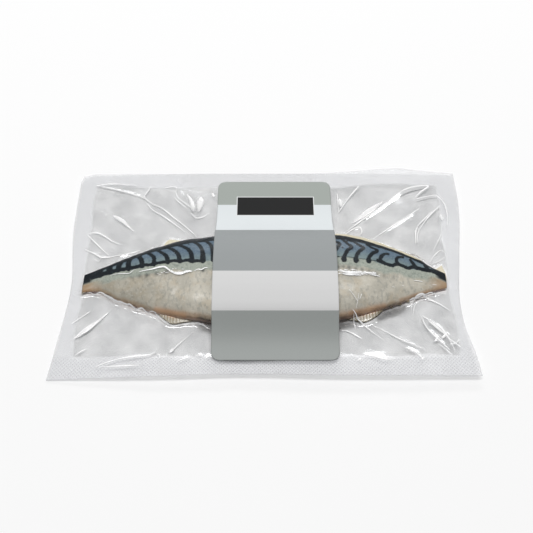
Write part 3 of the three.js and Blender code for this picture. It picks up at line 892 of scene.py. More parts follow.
class Drape:
    """Heights of both films over the fish, on a grid that is even in the pouch's own u and v."""

    def __init__(self, fish):
        u, v = np.meshgrid(np.linspace(0, 1, FILM_CELLS_X + 1), np.linspace(0, 1, FILM_CELLS_Y + 1))
        self.x, self.y = film_plan(u, v)
        self.fish = self.fish_heights(fish)
        plan = np.stack([self.x.ravel(), self.y.ravel()], 1)
        covered = self.fish.ravel() > 0
        outline = plan[covered & (neighbour_mean(1.0 * (self.fish > 0)).ravel() < 1)]
        away = np.full(len(plan), 0.0)
        for start in range(0, len(plan), PLACES_AT_ONCE):
            part = slice(start, start + PLACES_AT_ONCE)
            away[part] = np.linalg.norm(plan[part, None] - outline[None, ::2], axis=2).min(1)
        away = np.where(covered, 0, away).reshape(self.x.shape)
        self.away = away
        folds = self.fold_heights(plan).reshape(self.x.shape)
        waves = 0.12 * ripple(plan, 21, seed=8) + 0.02 * ripple(plan, 6, seed=9)
        waves = waves.reshape(self.x.shape)
        free = smooth_step(0.5, 7, away)
        self.base = rim_height(self.x, self.y) * smooth_step(1, BASE_RISE, away)
        self.base = np.maximum(0, self.base + free * (0.6 * folds + waves))
        least = np.maximum(self.base + FILM_THICKNESS, neighbour_most(self.fish) + FILM_THICKNESS)
        least = least + FILM_CLEARANCE
        top = least.copy()
        for _ in range(CLING_PASSES):
            top = np.maximum(least, neighbour_mean(top))
        inside = smooth_step(0, 8, self.seal_distance())
        self.top = top + inside * (0.5 * folds * smooth_step(0, 2, away))
        self.top = np.maximum(self.top, least)

    def gloom(self):
        """How strongly the painted shadow darkens the film under the raised bellies, from 0 to 1."""
        shadow_mask = np.zeros(self.x.shape)
        for fillet, start, end in PAINTED_SHADOW_REACHES:
            s = fillet.station(self.x)
            below = fillet.belly(np.clip(s, 0, fillet.length)) - self.y
            along = smooth_step(start, start + PAINTED_SHADOW_FADE, s) * smooth_step(end + PAINTED_SHADOW_FADE, end, s)
            shadow_mask = np.maximum(shadow_mask, along * smooth_step(-1, 1, below) * smooth_step(PAINTED_SHADOW_WIDTH, 1, below))
        return shadow_mask

    def seal_distance(self):
        """How far inside the seal each point is, in millimetres, and negative on the rim."""
        wave = 0.6 * np.sin(self.x / 9) + 0.6 * np.sin(self.y / 7 + 1)
        sides = np.minimum(self.x - SEAL_LEFT, SEAL_RIGHT - self.x)
        ends = np.minimum(self.y - SEAL_NEAR, SEAL_FAR - self.y)
        return np.minimum(sides, ends) + wave

    def fish_heights(self, fish):
        """Height of the fish's highest surface at each grid point, or 0 beside it."""
        trees = []
        depsgraph = bpy.context.evaluated_depsgraph_get()
        for piece in fish:
            trees.append(BVHTree.FromObject(piece, depsgraph))
        heights = np.zeros(self.x.size)
        down = Vector((0, 0, -1))
        for index, (x, y) in enumerate(zip(self.x.ravel(), self.y.ravel())):
            if abs(x) > FISH_HALF_LENGTH or not FISH_NEAR < y < FISH_FAR:
                continue
            start = Vector((x * MM, y * MM, DROP_HEIGHT))
            for tree in trees:
                hit = tree.ray_cast(start, down)[0]
                if hit is not None:
                    heights[index] = max(heights[index], hit.z / MM)
        return heights.reshape(self.x.shape)

    def fold_heights(self, plan):
        low = [(FOLD_SHARE * width, FOLD_BESIDE_CREASE, points) for width, points in CREASES_AND_HIGHLIGHTS]
        heights = np.zeros(len(plan))
        for height, half_width, points in FOLDS + low:
            distance, share = distance_to_route(plan, route_through(points, 0.8), half_width)
            ends = np.sin(math.pi * np.clip(share, 0.02, 0.98)) ** 0.6
            ridge = height * ends * np.cos(math.pi / 2 * distance / half_width) ** 2
            heights = np.maximum(heights, ridge)
        return heights

    def film(self, heights):
        """A function for add_sheet that gives one of the films."""
        def place(u, v):
            i = np.rint(u * FILM_CELLS_X).astype(int)
            j = np.rint(v * FILM_CELLS_Y).astype(int)
            return np.stack([self.x[j, i], self.y[j, i], heights[j, i]], 1)
        return place

    def top_at(self, plan):
        """Height of the top film at plan points, by linear interpolation."""
        u, v = film_share(plan[:, 0], plan[:, 1])
        column = np.clip(u * FILM_CELLS_X, 0, FILM_CELLS_X - 1e-6)
        row = np.clip(v * FILM_CELLS_Y, 0, FILM_CELLS_Y - 1e-6)
        i, j = column.astype(int), row.astype(int)
        a, b = column - i, row - j
        low = self.top[j, i] * (1 - a) + self.top[j, i + 1] * a
        high = self.top[j + 1, i] * (1 - a) + self.top[j + 1, i + 1] * a
        return low * (1 - b) + high * b


def build_film(drape, name, node, heights, thickness, material):
    bm = bmesh.new()
    add_sheet(bm, FILM_CELLS_X, FILM_CELLS_Y, drape.film(heights))
    film = finish_piece(bm, name, node, material)
    keep_value(film.data, "seal", drape.seal_distance().ravel())
    keep_value(film.data, "away", drape.away.ravel())
    keep_value(film.data, "gloom", drape.gloom().ravel())
    add_thickness(film, thickness)
    return film


def film_material(settings):
    """Clear film has no colour: the little light that it stops, it mirrors. The seal is milky.

    Where it clings to the wet skin it hardly shows, because nothing but water is between them. Under the
    raised bellies it is painted dark, as a painted shadow.
    """
    shader = Shader("clear_film")
    ragged = shader.math("MULTIPLY_ADD", shader.noise(2.0), 1.2, -0.6)
    rim = shader.fade(shader.math("ADD", shader.value("seal"), ragged), 1.6, -1.6)
    clouds = shader.mottle(11, output="Cloud")
    clear = shader.math("MULTIPLY_ADD", clouds, CLEAR_CLOUDS, settings.clear_share - CLEAR_CLOUDS / 2)
    clouds = shader.mottle(14, output="Cloud")
    milky = shader.math("MULTIPLY_ADD", clouds, RIM_CLOUDS, settings.rim_share - RIM_CLOUDS / 2)
    mesh_waves = []
    for turn in (math.pi / 4, -math.pi / 4):
        wave = shader.tree.nodes.new("ShaderNodeTexWave")
        wave.inputs["Scale"].default_value = 0.2
        shader.link(shader.place(turn=turn), wave.inputs["Vector"])
        mesh_waves.append(wave.outputs["Fac"])
    by_near_edge = shader.fade(shader.axes()["Y"], EMBOSS_START, EMBOSS_FULL)
    emboss = shader.math("MULTIPLY", shader.math("MULTIPLY", *mesh_waves), by_near_edge)
    milky = shader.math("MULTIPLY", milky, shader.math("MULTIPLY_ADD", emboss, 0.45, 0.95))
    normal = shader.bump(shader.math("MULTIPLY", emboss, rim), 0.4, 0.06)
    normal = shader.bump(shader.noise(6, 3, roughness=0.5), 0.3, 0.4, normal)
    clinging = shader.fade(shader.value("away"), 3.5, 0.3)
    clear = shader.math("MULTIPLY", clear, shader.math("MULTIPLY_ADD", clinging, -CLING_LOSS, 1))
    # Painted shadow: under the raised bellies the film stops more light and takes a dark colour
    gloom = shader.math("MULTIPLY", shader.value("gloom"), PAINTED_SHADOW_SHARE)
    clear = shader.math("ADD", clear, gloom)
    shadow_mask = shader.fade(gloom, 0.0, 0.05)
    film_colour = shader.mix(shadow_mask, from_srgb(236, 238, 240), from_srgb(58, 55, 53))
    shader.set(
        Base_Color=shader.mix(rim, film_colour, tuple(settings.rim_colour)),
        Metallic=shader.math("SUBTRACT", 1, shader.math("MULTIPLY", rim, 0.9)),
        Roughness=shader.math("MULTIPLY_ADD", rim, 0.3, 0.12),
        Alpha=shader.math("ADD", shader.math("MULTIPLY", clear, shader.math("SUBTRACT", 1, rim)),
                          shader.math("MULTIPLY", milky, rim)),
        Normal=normal,
    )
    return shader.material


# White strips on the top film, partly sharp creases and partly painted highlights such as the glints along
# the fish's shoulders: half width, and plan points
CREASES_AND_HIGHLIGHTS = [
    # The first four are painted highlights along the left fillet's shoulder
    (0.16, [(-95, -9.4), (-91, -8.8), (-86.5, -9.0), (-81.9, -8.9), (-80.2, -7.3), (-78.6, -7.2)]),
    (0.40, [(-77, -9.2), (-74, -8.6), (-69.2, -8), (-64.4, -7.0), (-61.6, -6.9), (-58.6, -9.2),
            (-55.6, -11.8), (-53, -12.4)]),
    (0.55, [(-57, -9.8), (-54.6, -12.1), (-50.8, -12.4), (-47.6, -11.2), (-44, -11.3)]),
    (0.26, [(-43.2, -11.3), (-40.6, -10.2), (-38.9, -10.6), (-36.4, -9.4), (-34.6, -9.7)]),
    (0.14, [(48.4, -22.5), (51.4, -26.4), (53.6, -29.6)]),
    (0.12, [(54.4, -24.4), (53.6, -29), (52.4, -33.4)]),
    (0.12, [(56.2, -24.6), (54.6, -28.6)]),
    (0.16, [(88.4, -13.4), (91, -13.2), (94.4, -13.4)]),
    (0.12, [(100, -14.6), (103, -14.4)]),
    (0.10, [(74.6, -18.6), (76.8, -18.8)]),
    (0.10, [(80.8, -17.4), (82.6, -17.6)]),
    (0.30, [(-114.2, 64.2), (-104.6, 62.0), (-96.3, 59.6), (-87.4, 56.6), (-81, 54), (-77.4, 51)]),
    (0.26, [(-77.4, 51), (-80, 55), (-78, 60), (-76.5, 64)]),
    (0.34, [(-78.4, 52.5), (-74, 48.6), (-70, 46.7), (-59.6, 37.8), (-50.7, 29.9), (-43.6, 22.9)]),
    (0.34, [(-78.4, 50), (-74.5, 44.6), (-66.4, 38.9), (-57.4, 31.6), (-51, 26.3)]),
    (0.36, [(-60.4, 60.8), (-58.5, 54.6), (-54, 50.2), (-47.8, 44.9)]),
    (0.30, [(-112.9, 63.6), (-104, 65.2), (-94, 65), (-86, 64.4)]),
    (0.32, [(-113.9, 24.4), (-109.0, 26.0), (-102.2, 22.9), (-98.0, 19.8), (-90.3, 17.0)]),
    (0.30, [(-113.9, 24.4), (-107.3, 17.5), (-100.9, 11.4), (-97.4, 8.4)]),
    (0.36, [(-97.4, 8.4), (-89.4, 9.9), (-83.1, 11.6), (-78.9, 13.9)]),
    (0.34, [(-114.5, 13.7), (-108.4, 10.6), (-103, 7.9), (-97.3, 8.0)]),
    (0.42, [(-112.9, -49.9), (-107.2, -43.3), (-101.3, -37.9), (-94.3, -31.1)]),
    (0.36, [(-113.0, -48.6), (-106.2, -45), (-99.6, -37.8), (-94.6, -31.6)]),
    (0.30, [(-115.5, -39.2), (-111.8, -35.9), (-105.2, -30.4)]),
    (0.40, [(-98.0, -67.8), (-86.0, -63.1), (-74.7, -60.9), (-67, -59.6), (-63.6, -57.2)]),
    (0.30, [(-96.0, -67.9), (-84, -67.4), (-72, -66.8)]),
    (0.24, [(-66.2, -32.8), (-61, -37.4), (-57, -40)]),
    (0.30, [(-54.4, -40.4), (-48, -39.4), (-43, -39), (-38, -40), (-33, -42.4)]),
    (0.26, [(-67.1, 62.4), (-64, 63.4), (-59.8, 62.8), (-59.2, 60.7), (-63.2, 59.9), (-66.6, 61.8)]),
    (0.30, [(-61.1, 55), (-57.6, 50.8), (-54.3, 47.7), (-50, 43.8)]),
    (0.24, [(-49.4, 42.5), (-48, 40.3), (-45.2, 37.8), (-40.8, 38.9), (-37.4, 41.9)]),
    (0.28, [(-109.3, 11.6), (-105.7, 10.1), (-103.5, 7.5), (-104.6, 5), (-107.8, 6.8)]),
    (0.24, [(-103.8, 9.1), (-100.3, 8.5), (-96.8, 8.2)]),
    (0.26, [(-104.3, -55.8), (-107.8, -57.9), (-110.9, -60.3)]),
    (0.28, [(-63.5, -59), (-61.7, -59.7), (-61.2, -62.3)]),
    (0.22, [(-54.8, -56.7), (-49.4, -50.7), (-43.5, -44.5)]),
    (0.28, [(-51.6, -64.5), (-48, -62.8), (-44, -61.2)]),
    (0.24, [(-41.2, -60.9), (-39.2, -60), (-36.5, -60.9)]),
    (0.24, [(-35.1, -62.4), (-33.1, -60.9), (-30.4, -61.7)]),
    (0.44, [(47.8, 25.2), (60.7, 35.4), (78, 48.4), (88.8, 57), (96, 60.6), (106.9, 62), (101, 57),
            (95.6, 51)]),
    (0.36, [(95.6, 51), (104, 53.6), (111, 54.6), (115, 50), (116.6, 41), (115.6, 31)]),
    (0.34, [(66.1, 20.5), (76.4, 28.3), (86.7, 35.4), (99.3, 44.3)]),
    (0.32, [(49.1, 24.4), (55.1, 29.1), (59.8, 30.7), (60.8, 26.8), (57.4, 24.4)]),
    (0.34, [(113, 47), (108, 42), (100.7, 33.1), (96.6, 26.0), (95.0, 17.7)]),
    (0.26, [(101.3, 3.9), (105.0, 9.1), (109.9, 12.9), (112.2, 10.6), (109.1, 6.1), (102.5, 3.2)]),
    (0.22, [(104.7, 12.8), (108.6, 20.0), (111.5, 25.5)]),
    (0.30, [(50.2, -33.5), (57.0, -39.2), (62.6, -44.6), (69.2, -50.5)]),
    (0.22, [(59.5, -37.9), (67.4, -42.3), (77.8, -49.2), (92, -57)]),
    (0.20, [(51.3, -35.2), (52.6, -42.6)]),
    (0.38, [(92.3, -33.1), (97.6, -37.2), (103.3, -42.9), (106, -49), (110.8, -54.4)]),
    (0.36, [(92.0, -33.1), (94.5, -41.9), (100, -50), (106, -58)]),
    (0.28, [(92.1, -23.5), (89.3, -26.4), (87.5, -32.5)]),
    (0.28, [(94.1, -22.1), (100.6, -23.5), (105.1, -26.3), (110.1, -30.4)]),
    (0.34, [(43.1, -42.6), (47, -43.6), (50.7, -45.3), (56, -49)]),
    (0.40, [(79.5, -54.7), (85.5, -58.6), (89.3, -63.1)]),
    (0.34, [(56, -59.6), (62, -61.2), (69, -63.2), (74, -63)]),
    (0.34, [(46.5, 57.9), (46.6, 50.4), (46.7, 42.1)]),
    (0.30, [(86.6, -30.4), (87.5, -26), (90.1, -22), (93.8, -20.5), (97.2, -21.5), (101.3, -23.5),
            (105.3, -26.5), (108.8, -29.3)]),
    (0.30, [(78.4, 14.5), (83.6, 12.8), (89.7, 9.6), (93.8, 6.4), (98, 3.2)]),
    (0.36, [(46.7, 42.1), (53.6, 52.9), (61.6, 63.4)]),
    (0.26, [(107.3, 42.9), (102, 36.8), (96.8, 30.8), (94.1, 17.4)]),
    (0.24, [(99.2, -52.9), (103, -56.6), (106.7, -61)]),
    (0.24, [(103.3, -44), (106.5, -50.9), (108.7, -59)]),
    (0.22, [(106.3, -49.9), (109.3, -52.6), (112.2, -55.6)]),
    (0.22, [(105.8, -53.6), (108.9, -52.9), (112.4, -50.2)]),
]

# Painted sheens: soft white patches on the top film that stand for reflections: half width, and plan points
PAINTED_SHEENS = [
    (1.3, [(-99.5, 39.5), (-93.5, 35.5), (-84.5, 27.2)]),
    (1.5, [(-52.6, 57.5), (-49, 50.5), (-47.2, 42.5)]),
    (2.0, [(-43, 55.5), (-43.3, 49), (-44, 42)]),
    (1.5, [(55, 33.8), (66, 42.3), (77, 50.6)]),
    (1.2, [(-111, -49), (-105, -42.5), (-97, -34.5)]),
    (0.8, [(95, -36), (101, -42.5), (106, -49)]),
    (1.0, [(-36.3, 59), (-35.2, 56.7), (-34.6, 54.4)]),
    (1.0, [(112, 40.4), (112.6, 37.6), (113.2, 34.8)]),
    (0.9, [(-56.2, -58), (-54.8, -56.7), (-53.4, -55.4)]),
    (0.9, [(42.5, -11), (48, -11.8), (54, -11.8), (58, -11.2)]),
    (0.7, [(45, -13), (50, -13.2), (55, -12.6)]),
    (0.62, [(56, -11.4), (61, -11.4), (66, -11.8)]),
    (0.7, [(-57, -11.2), (-52, -12), (-47, -11.6)]),
    (0.8, [(97.5, -51.4), (98.9, -50.2), (100.4, -48.8)]),
    (0.8, [(102, -49.4), (103.4, -48.2), (104.9, -46.7)]),
    (0.8, [(88, -63.6), (89.2, -63), (90.4, -62)]),
    (0.8, [(52.2, -63.6), (53.3, -63.1), (54.5, -62.2)]),
    (1.6, [(47.4, 53), (48.4, 49), (48.6, 46)]),
    (0.80, [(97.2, 31.8), (95.3, 27.3), (94.6, 22.3), (94.4, 17.3)]),
]
PAINTED_SPARKLE_COUNT = 70
# Low and high corners of the stretches over the fish where white specks are painted as glints, and how many
# specks each has
PAINTED_GLINT_PATCHES = [
    ((43, -13.4), (57, -9.6), 60),
    ((55, -13), (68, -10.4), 26),
    ((-66, -12.6), (-47, -8.6), 16),
]
# These settings shape every white strip: the creases and the painted sheens, glints, sparkles and hem
# highlights
CREASE_SPREAD = 1.7  # how much wider the visible white of a crease is than its sharp ridge
CREASE_STEEPNESS = 0.3
CREASE_LIFT = 0.1  # how far the upper face of a crease's own strip stands off the film at its sides
CREASE_THICKNESS = 0.08
CREASE_CELLS_ACROSS = 6
LEAST_CREASE_CELLS = 4
CREASE_CLOUDS = 0.5  # how unevenly the creases show
SOFT_FROM = 0.6  # strips with a half width above this, which are the painted sheens, fade out sideways
SHARPNESS = 3.2
SHEEN_STRENGTH = 0.7
HEM_HIGHLIGHT_HALF_WIDTH = 0.26
HEM_HIGHLIGHT_GAP = 1.0  # how far beside the belly the painted highlight line runs


def crease_places(drape, half_width, route, u, v):
    """A low smooth ridge along a route on the top film, tapered to nothing at both ends."""
    middle = along_route(route, u)
    direction = along_route(route, np.minimum(u + 0.01, 1)) - along_route(route, np.maximum(u - 0.01, 0))
    direction /= np.linalg.norm(direction, axis=1, keepdims=True)
    sideways = np.stack([-direction[:, 1], direction[:, 0]], 1)
    swell = 0.75 + 0.35 * np.sin(u * len(route) * 0.11 + route[0, 0]) * np.sin(u * len(route) * 0.047)
    width = CREASE_SPREAD * half_width * swell * np.clip(np.sin(math.pi * u), 0.04, 1) ** 0.35
    offset = (v * 2 - 1) * width
    plan = middle + sideways * offset[:, None]
    ridge = CREASE_STEEPNESS * width * np.cos(math.pi / 2 * (v * 2 - 1))
    return np.column_stack([plan, drape.top_at(plan) + FILM_THICKNESS + CREASE_LIFT + ridge])


def painted_sparkles():
    """Short white specks painted on the clear film and along the fish's shoulders as sparkles of light,
    fixed by their seed.
    """
    random = np.random.default_rng(21)
    made = []
    for low, high, count in PAINTED_GLINT_PATCHES:
        for x, y in random.uniform(low, high, (count, 2)):
            length, slope, half_width = random.uniform((0.8, -0.3, 0.08), (3.2, 0.3, 0.24))
            step = np.array([1, slope]) * length / 2
            middle = np.array([x, y])
            made.append((half_width, [middle - step, middle, middle + step]))
    while len(made) < PAINTED_SPARKLE_COUNT + sum(count for _, _, count in PAINTED_GLINT_PATCHES):
        x, y = random.uniform((-112, -60), (112, 63))
        length, turn, half_width = random.uniform((0.5, -2, 0.1), (2.2, 2, 0.24))
        over_fish = -32 - 0.1 * abs(x) < y < 24 - 0.16 * abs(x)
        if over_fish or abs(x - LABEL_CENTRE_X) < LABEL_WIDTH / 2 + 2:
            continue
        step = np.array([math.cos(turn), math.sin(turn)]) * length / 2
        middle = np.array([x, y])
        made.append((half_width, [middle - step, middle, middle + step]))
    return made


def hem_highlights():
    """Painted highlights: thin white lines where the film turns down from the bellies, near the tails."""
    made = []
    for fillet, start, end in ((UPPER, 3, 47), (LOWER, 6, 24)):
        s = np.linspace(start, end, 24)
        x = fillet.tail_x + fillet.towards_head * s
        y = fillet.belly(s) - HEM_HIGHLIGHT_GAP + 0.3 * ripple(x[:, None], 9, seed=5)
        made.append((HEM_HIGHLIGHT_HALF_WIDTH, np.stack([x, y], 1)))
    return made


def build_creases_and_highlights(drape, material):
    bm = bmesh.new()
    cores = []
    for half_width, points in CREASES_AND_HIGHLIGHTS + PAINTED_SHEENS + painted_sparkles() + hem_highlights():
        route = route_through(points, 0.5)

        def place(u, v, half_width=half_width, route=route):
            core = np.cos(math.pi / 2 * (v * 2 - 1)) * np.sin(math.pi * u) ** 0.5
            soft = half_width > SOFT_FROM
            cores.append(SHEEN_STRENGTH * core if soft else np.minimum(1, SHARPNESS * core))
            return crease_places(drape, half_width, route, u, v)

        add_sheet(bm, max(LEAST_CREASE_CELLS, len(route) - 1), CREASE_CELLS_ACROSS, place)
    for face in bm.faces:
        face.normal_update()
    creases = finish_piece(bm, "top_film_creases_and_highlights", "pouch_top_film", material)
    keep_value(creases.data, "core", np.concatenate(cores))
    add_thickness(creases, CREASE_THICKNESS)
    return creases


def crease_and_highlight_material(settings):
    # Plain white strips: on real creases they are the film's whitening, elsewhere painted highlights that
    # stay white in any light
    shader = Shader("creases_and_painted_highlights")
    patches = shader.mottle(3.5, detail=2, output="Cloud")
    uneven = shader.math("MULTIPLY_ADD", patches, CREASE_CLOUDS, settings.crease_share - CREASE_CLOUDS / 2)
    shader.set(
        Base_Color=(*from_srgb(252, 252, 252), 1),
        Roughness=0.15,
        Alpha=shader.math("MULTIPLY", uneven, shader.fade(shader.value("core"), 0.0, 0.8)),
    )
    return shader.material


# ------------------------------------------------------------------------------------------------
# Label
# ------------------------------------------------------------------------------------------------

LABEL_CENTRE_X = 5.1
LABEL_WIDTH = 74
LABEL_FAR = 67.5
LABEL_NEAR = -64
LABEL_CORNER = 5
LABEL_THICKNESS = 0.2
LABEL_GAP = 0.18
LABEL_STATIONS = 261  # places from its near to its far edge where the paper's height is worked out
LABEL_COLUMNS = 25
LABEL_STIFFNESS = 500  # smoothing passes along the paper, which bridges the dips that they leave
BAND_EDGES = (48.1, 22.6, -12.9, -36.7)
PANEL_CENTRE_X = 5.8
PANEL_CENTRE_Y = 46.8
PANEL_WIDTH = 49.5
PANEL_HEIGHT = 15
PANEL_BORDER = 0.6  # width of the pale line round the panel
PRINT_BLUR = 0.1  # how soft the printed edges are
LABEL_CELLS_X = 110
LABEL_CELLS_Y = 200


def label_heights(drape):
    """A function for the height of the paper, which bends over the fish but is straight across."""
    along = np.linspace(LABEL_NEAR, LABEL_FAR, LABEL_STATIONS)
    across = np.linspace(-0.5, 0.5, LABEL_COLUMNS)
    x, y = np.meshgrid(LABEL_CENTRE_X + LABEL_WIDTH * across, along)
    film = drape.top_at(np.stack([x.ravel(), y.ravel()], 1)).reshape(x.shape)
    least = film.max(1)
    paper = least.copy()
    for _ in range(LABEL_STIFFNESS):
        paper[1:-1] = np.maximum(least[1:-1], (paper[:-2] + paper[2:]) / 2)
    return lambda y: np.interp(y, along, paper)


def label_places(height, u, v):
    y = LABEL_NEAR + (LABEL_FAR - LABEL_NEAR) * v
    to_end = np.minimum(y - LABEL_NEAR, LABEL_FAR - y)
    short = LABEL_CORNER - np.minimum(to_end, LABEL_CORNER)
    inset = LABEL_CORNER - np.sqrt(np.maximum(LABEL_CORNER**2 - short**2, 0))
    x = LABEL_CENTRE_X + (u * 2 - 1) * (LABEL_WIDTH / 2 - inset)
    return np.stack([x, y, height(y) + LABEL_GAP + LABEL_THICKNESS], 1)


def build_label(drape, thickness, material):
    height = label_heights(drape)
    bm = bmesh.new()
    add_sheet(bm, LABEL_CELLS_X, LABEL_CELLS_Y, lambda u, v: label_places(height, u, v))
    label = finish_piece(bm, "paper_label", "label", material)
    add_thickness(label, thickness)
    return label


def label_material(settings):
    shader = Shader("label_paper")
    axes = shader.axes()

    def beyond(axis, centre, size):
        """How far past the panel's edges a place is along one axis."""
        offset = shader.math("ABSOLUTE", shader.math("ADD", axis, -centre))
        return shader.math("ADD", offset, -size / 2)

    grey, pale = tuple(settings.grey), tuple(settings.pale)
    bands = [grey, pale, from_srgb(150, 154, 155), from_srgb(212, 212, 212), from_srgb(154, 158, 156)]
    colour = bands[0]
    for edge, band in zip(BAND_EDGES, bands[1:]):
        colour = shader.mix(shader.fade(axes["Y"], edge + PRINT_BLUR, edge - PRINT_BLUR), colour, band)
    outside = shader.math("MAXIMUM", beyond(axes["X"], PANEL_CENTRE_X, PANEL_WIDTH),
                          beyond(axes["Y"], PANEL_CENTRE_Y, PANEL_HEIGHT))
    border = shader.fade(outside, PANEL_BORDER, PANEL_BORDER - PRINT_BLUR)
    colour = shader.mix(border, colour, from_srgb(222, 224, 224))
    colour = shader.mix(shader.fade(outside, PRINT_BLUR, -PRINT_BLUR), colour, tuple(settings.panel))
    grain = shader.mottle(0.5, detail=4, output="Cloud")
    colour = shader.mix(0.06, colour, grain, "OVERLAY")
    shader.set(
        Base_Color=colour,
        Roughness=0.6,
        Specular_IOR_Level=0.25,
        Normal=shader.bump(grain, 0.1, 0.02),
    )
    return shader.material


# ------------------------------------------------------------------------------------------------
# Stage
# ------------------------------------------------------------------------------------------------

CAMERA_ELEVATION = math.radians(58)
CAMERA_DISTANCE = 0.468
CAMERA_TARGET = Vector((0, 0.0017, 0))
CAMERA_LENS = 50.86
SENSOR_WIDTH = 36
FLOOR_SIZE = 6
KEY_PLACE = (-0.1, 0.32, 3.15)
KEY_SIZE = (2.6, 0.4)
BACK_PLACE = (0.2, 2.7, 1.7)
BACK_SIZE = (2.2, 0.6)
BACK_SHARE = 0.35  # power of the back light for each watt of the key light
FILM_BOUNCES = 32  # see-through faces that one ray may pass: two films, creases and their shadows


def floor_material(settings):
    shader = Shader("studio_floor")
    shader.set(Base_Color=(*settings.floor_colour, 1), Roughness=0.9, Specular_IOR_Level=0.1)
    return shader.material


def build_floor(material):
    bm = bmesh.new()
    bmesh.ops.create_grid(bm, x_segments=8, y_segments=8, size=FLOOR_SIZE)
    mesh = bpy.data.meshes.new("floor")
    bm.to_mesh(mesh)
    bm.free()
    mesh.materials.append(material)
    floor = bpy.data.objects.new("floor", mesh)
    bpy.context.scene.collection.objects.link(floor)


def add_softbox(name, place, target, size, power):
    light = bpy.data.lights.new(name, "AREA")
    light.shape = "RECTANGLE"
    light.size, light.size_y = size
    light.energy = power
    lamp = bpy.data.objects.new(name, light)
    lamp.location = place
    lamp.rotation_euler = (Vector(target) - Vector(place)).to_track_quat("-Z", "Y").to_euler()
    bpy.context.scene.collection.objects.link(lamp)


def build_camera():
    data = bpy.data.cameras.new("camera")
    data.lens = CAMERA_LENS
    data.sensor_width = SENSOR_WIDTH
    camera = bpy.data.objects.new("camera", data)
    back = Vector((0, -math.cos(CAMERA_ELEVATION), math.sin(CAMERA_ELEVATION)))
    camera.location = CAMERA_TARGET + back * CAMERA_DISTANCE
    camera.rotation_euler = (-back).to_track_quat("-Z", "Y").to_euler()
    bpy.context.scene.collection.objects.link(camera)
    bpy.context.scene.camera = camera


def build_world(strength):
    world = bpy.data.worlds.new("studio")
    world.use_nodes = True
    background = world.node_tree.nodes["Background"]
    background.inputs["Color"].default_value = (1, 1, 1, 1)
    background.inputs["Strength"].default_value = strength
    bpy.context.scene.world = world
    bpy.context.scene.view_settings.view_transform = "Standard"
    bpy.context.scene.cycles.transparent_max_bounces = FILM_BOUNCES


# ------------------------------------------------------------------------------------------------
# Settings
# ------------------------------------------------------------------------------------------------


def colour_setting(name, description, default):
    return FloatVectorProperty(
        name=name, description=description, subtype="COLOR", size=3, min=0, max=1, default=default
    )


def share_setting(name, description, default):
    return FloatProperty(
        name=name, description=description, subtype="FACTOR", min=0, max=1, default=default
    )


def length_setting(name, description, default):
    return FloatProperty(
        name=name, description=description, unit="LENGTH", min=0, precision=5, default=default
    )


class FilletSettings(bpy.types.PropertyGroup):
    back: colour_setting("Back", "Blue between the dark bars of the back", from_srgb(86, 105, 122))
    ink: colour_setting("Bars", "Dark bars and back line", from_srgb(12, 20, 26))
    flank: colour_setting("Flank", "Greenish silver under the bars", from_srgb(148, 155, 146))
    belly: colour_setting("Belly", "Silver of the belly", from_srgb(182, 178, 166))
    flesh: colour_setting("Flesh", "Cut flesh on the underside", from_srgb(219, 192, 178))


class PouchSettings(bpy.types.PropertyGroup):
    thickness: length_setting("Film Thickness", "Thickness of each film", 0.00012)
    clear_share: share_setting("Clear Film", "Light that one face of clear film stops", 0.085)
    rim_share: share_setting("Seal", "Light that one face of the sealed rim stops", 0.14)
    # crease_share also sets how strongly the painted highlight strips show
    crease_share: share_setting("Creases", "Light that one face of a sharp crease stops", 1)
    rim_colour: colour_setting("Seal Colour", "Colour of the sealed rim", from_srgb(222, 223, 226))


class LabelSettings(bpy.types.PropertyGroup):
    thickness: length_setting("Paper Thickness", "Thickness of the label", 0.0002)
    grey: colour_setting("Grey Band", "Darker bands of the label", from_srgb(160, 166, 161))
    pale: colour_setting("Pale Band", "Lighter bands of the label", from_srgb(218, 223, 225))
    panel: colour_setting("Panel", "Plain dark panel near the top", from_srgb(12, 13, 14))


class StudioSettings(bpy.types.PropertyGroup):
    key_power: FloatProperty(
        name="Key Light", description="Power of the large light", unit="POWER", min=0, default=78
    )
    surround: FloatProperty(
        name="Surround", description="Brightness of the white surround", min=0, default=0.2
    )
    floor_colour: colour_setting("Floor", "Colour of the studio floor", (0.93, 0.93, 0.93))


class PackSettings(bpy.types.PropertyGroup):
    fillets: PointerProperty(type=FilletSettings, name="Fillets", description="Skin and flesh")
    pouch: PointerProperty(type=PouchSettings, name="Pouch", description="Clear film")
    label: PointerProperty(type=LabelSettings, name="Label", description="Paper band")
    studio: PointerProperty(type=StudioSettings, name="Studio", description="Floor and light")


# ------------------------------------------------------------------------------------------------
# Operators
# ------------------------------------------------------------------------------------------------


def drape_over_fish():
    """The films' heights over the fillets and fins that are in the scene."""
    names = [UPPER.name, LOWER.name, *(fin.name for fin in FINS)]
    missing = [name for name in names if name not in bpy.data.objects]
    if missing:
        raise RuntimeError("Build the fillets and fins first: " + ", ".join(missing))
    return Drape([bpy.data.objects[name] for name in names])


class FISHPACK_OT_fillets(bpy.types.Operator):
    """Model the two fillets, skin side up"""

    bl_idname = "fishpack.fillets"
    bl_label = "Build Fillets"

    def execute(self, context):
        settings = context.scene.fish_pack.fillets
        for fillet in (LOWER, UPPER):
            skin = skin_material(fillet, settings)
            build_fillet(fillet, skin)
        return {"FINISHED"}


class FISHPACK_OT_fins(bpy.types.Operator):
    """Model the fins and the stubs of the tails"""

    bl_idname = "fishpack.fins"
    bl_label = "Build Fins"

    def execute(self, context):
        orange = fin_material("fin_orange", from_srgb(184, 140, 100), from_srgb(146, 136, 112))
        pale = fin_material("fin_pale", from_srgb(206, 196, 170), from_srgb(222, 214, 190))
        for fin in FINS:
            build_fin(fin, pale if fin.pale else orange)
        return {"FINISHED"}


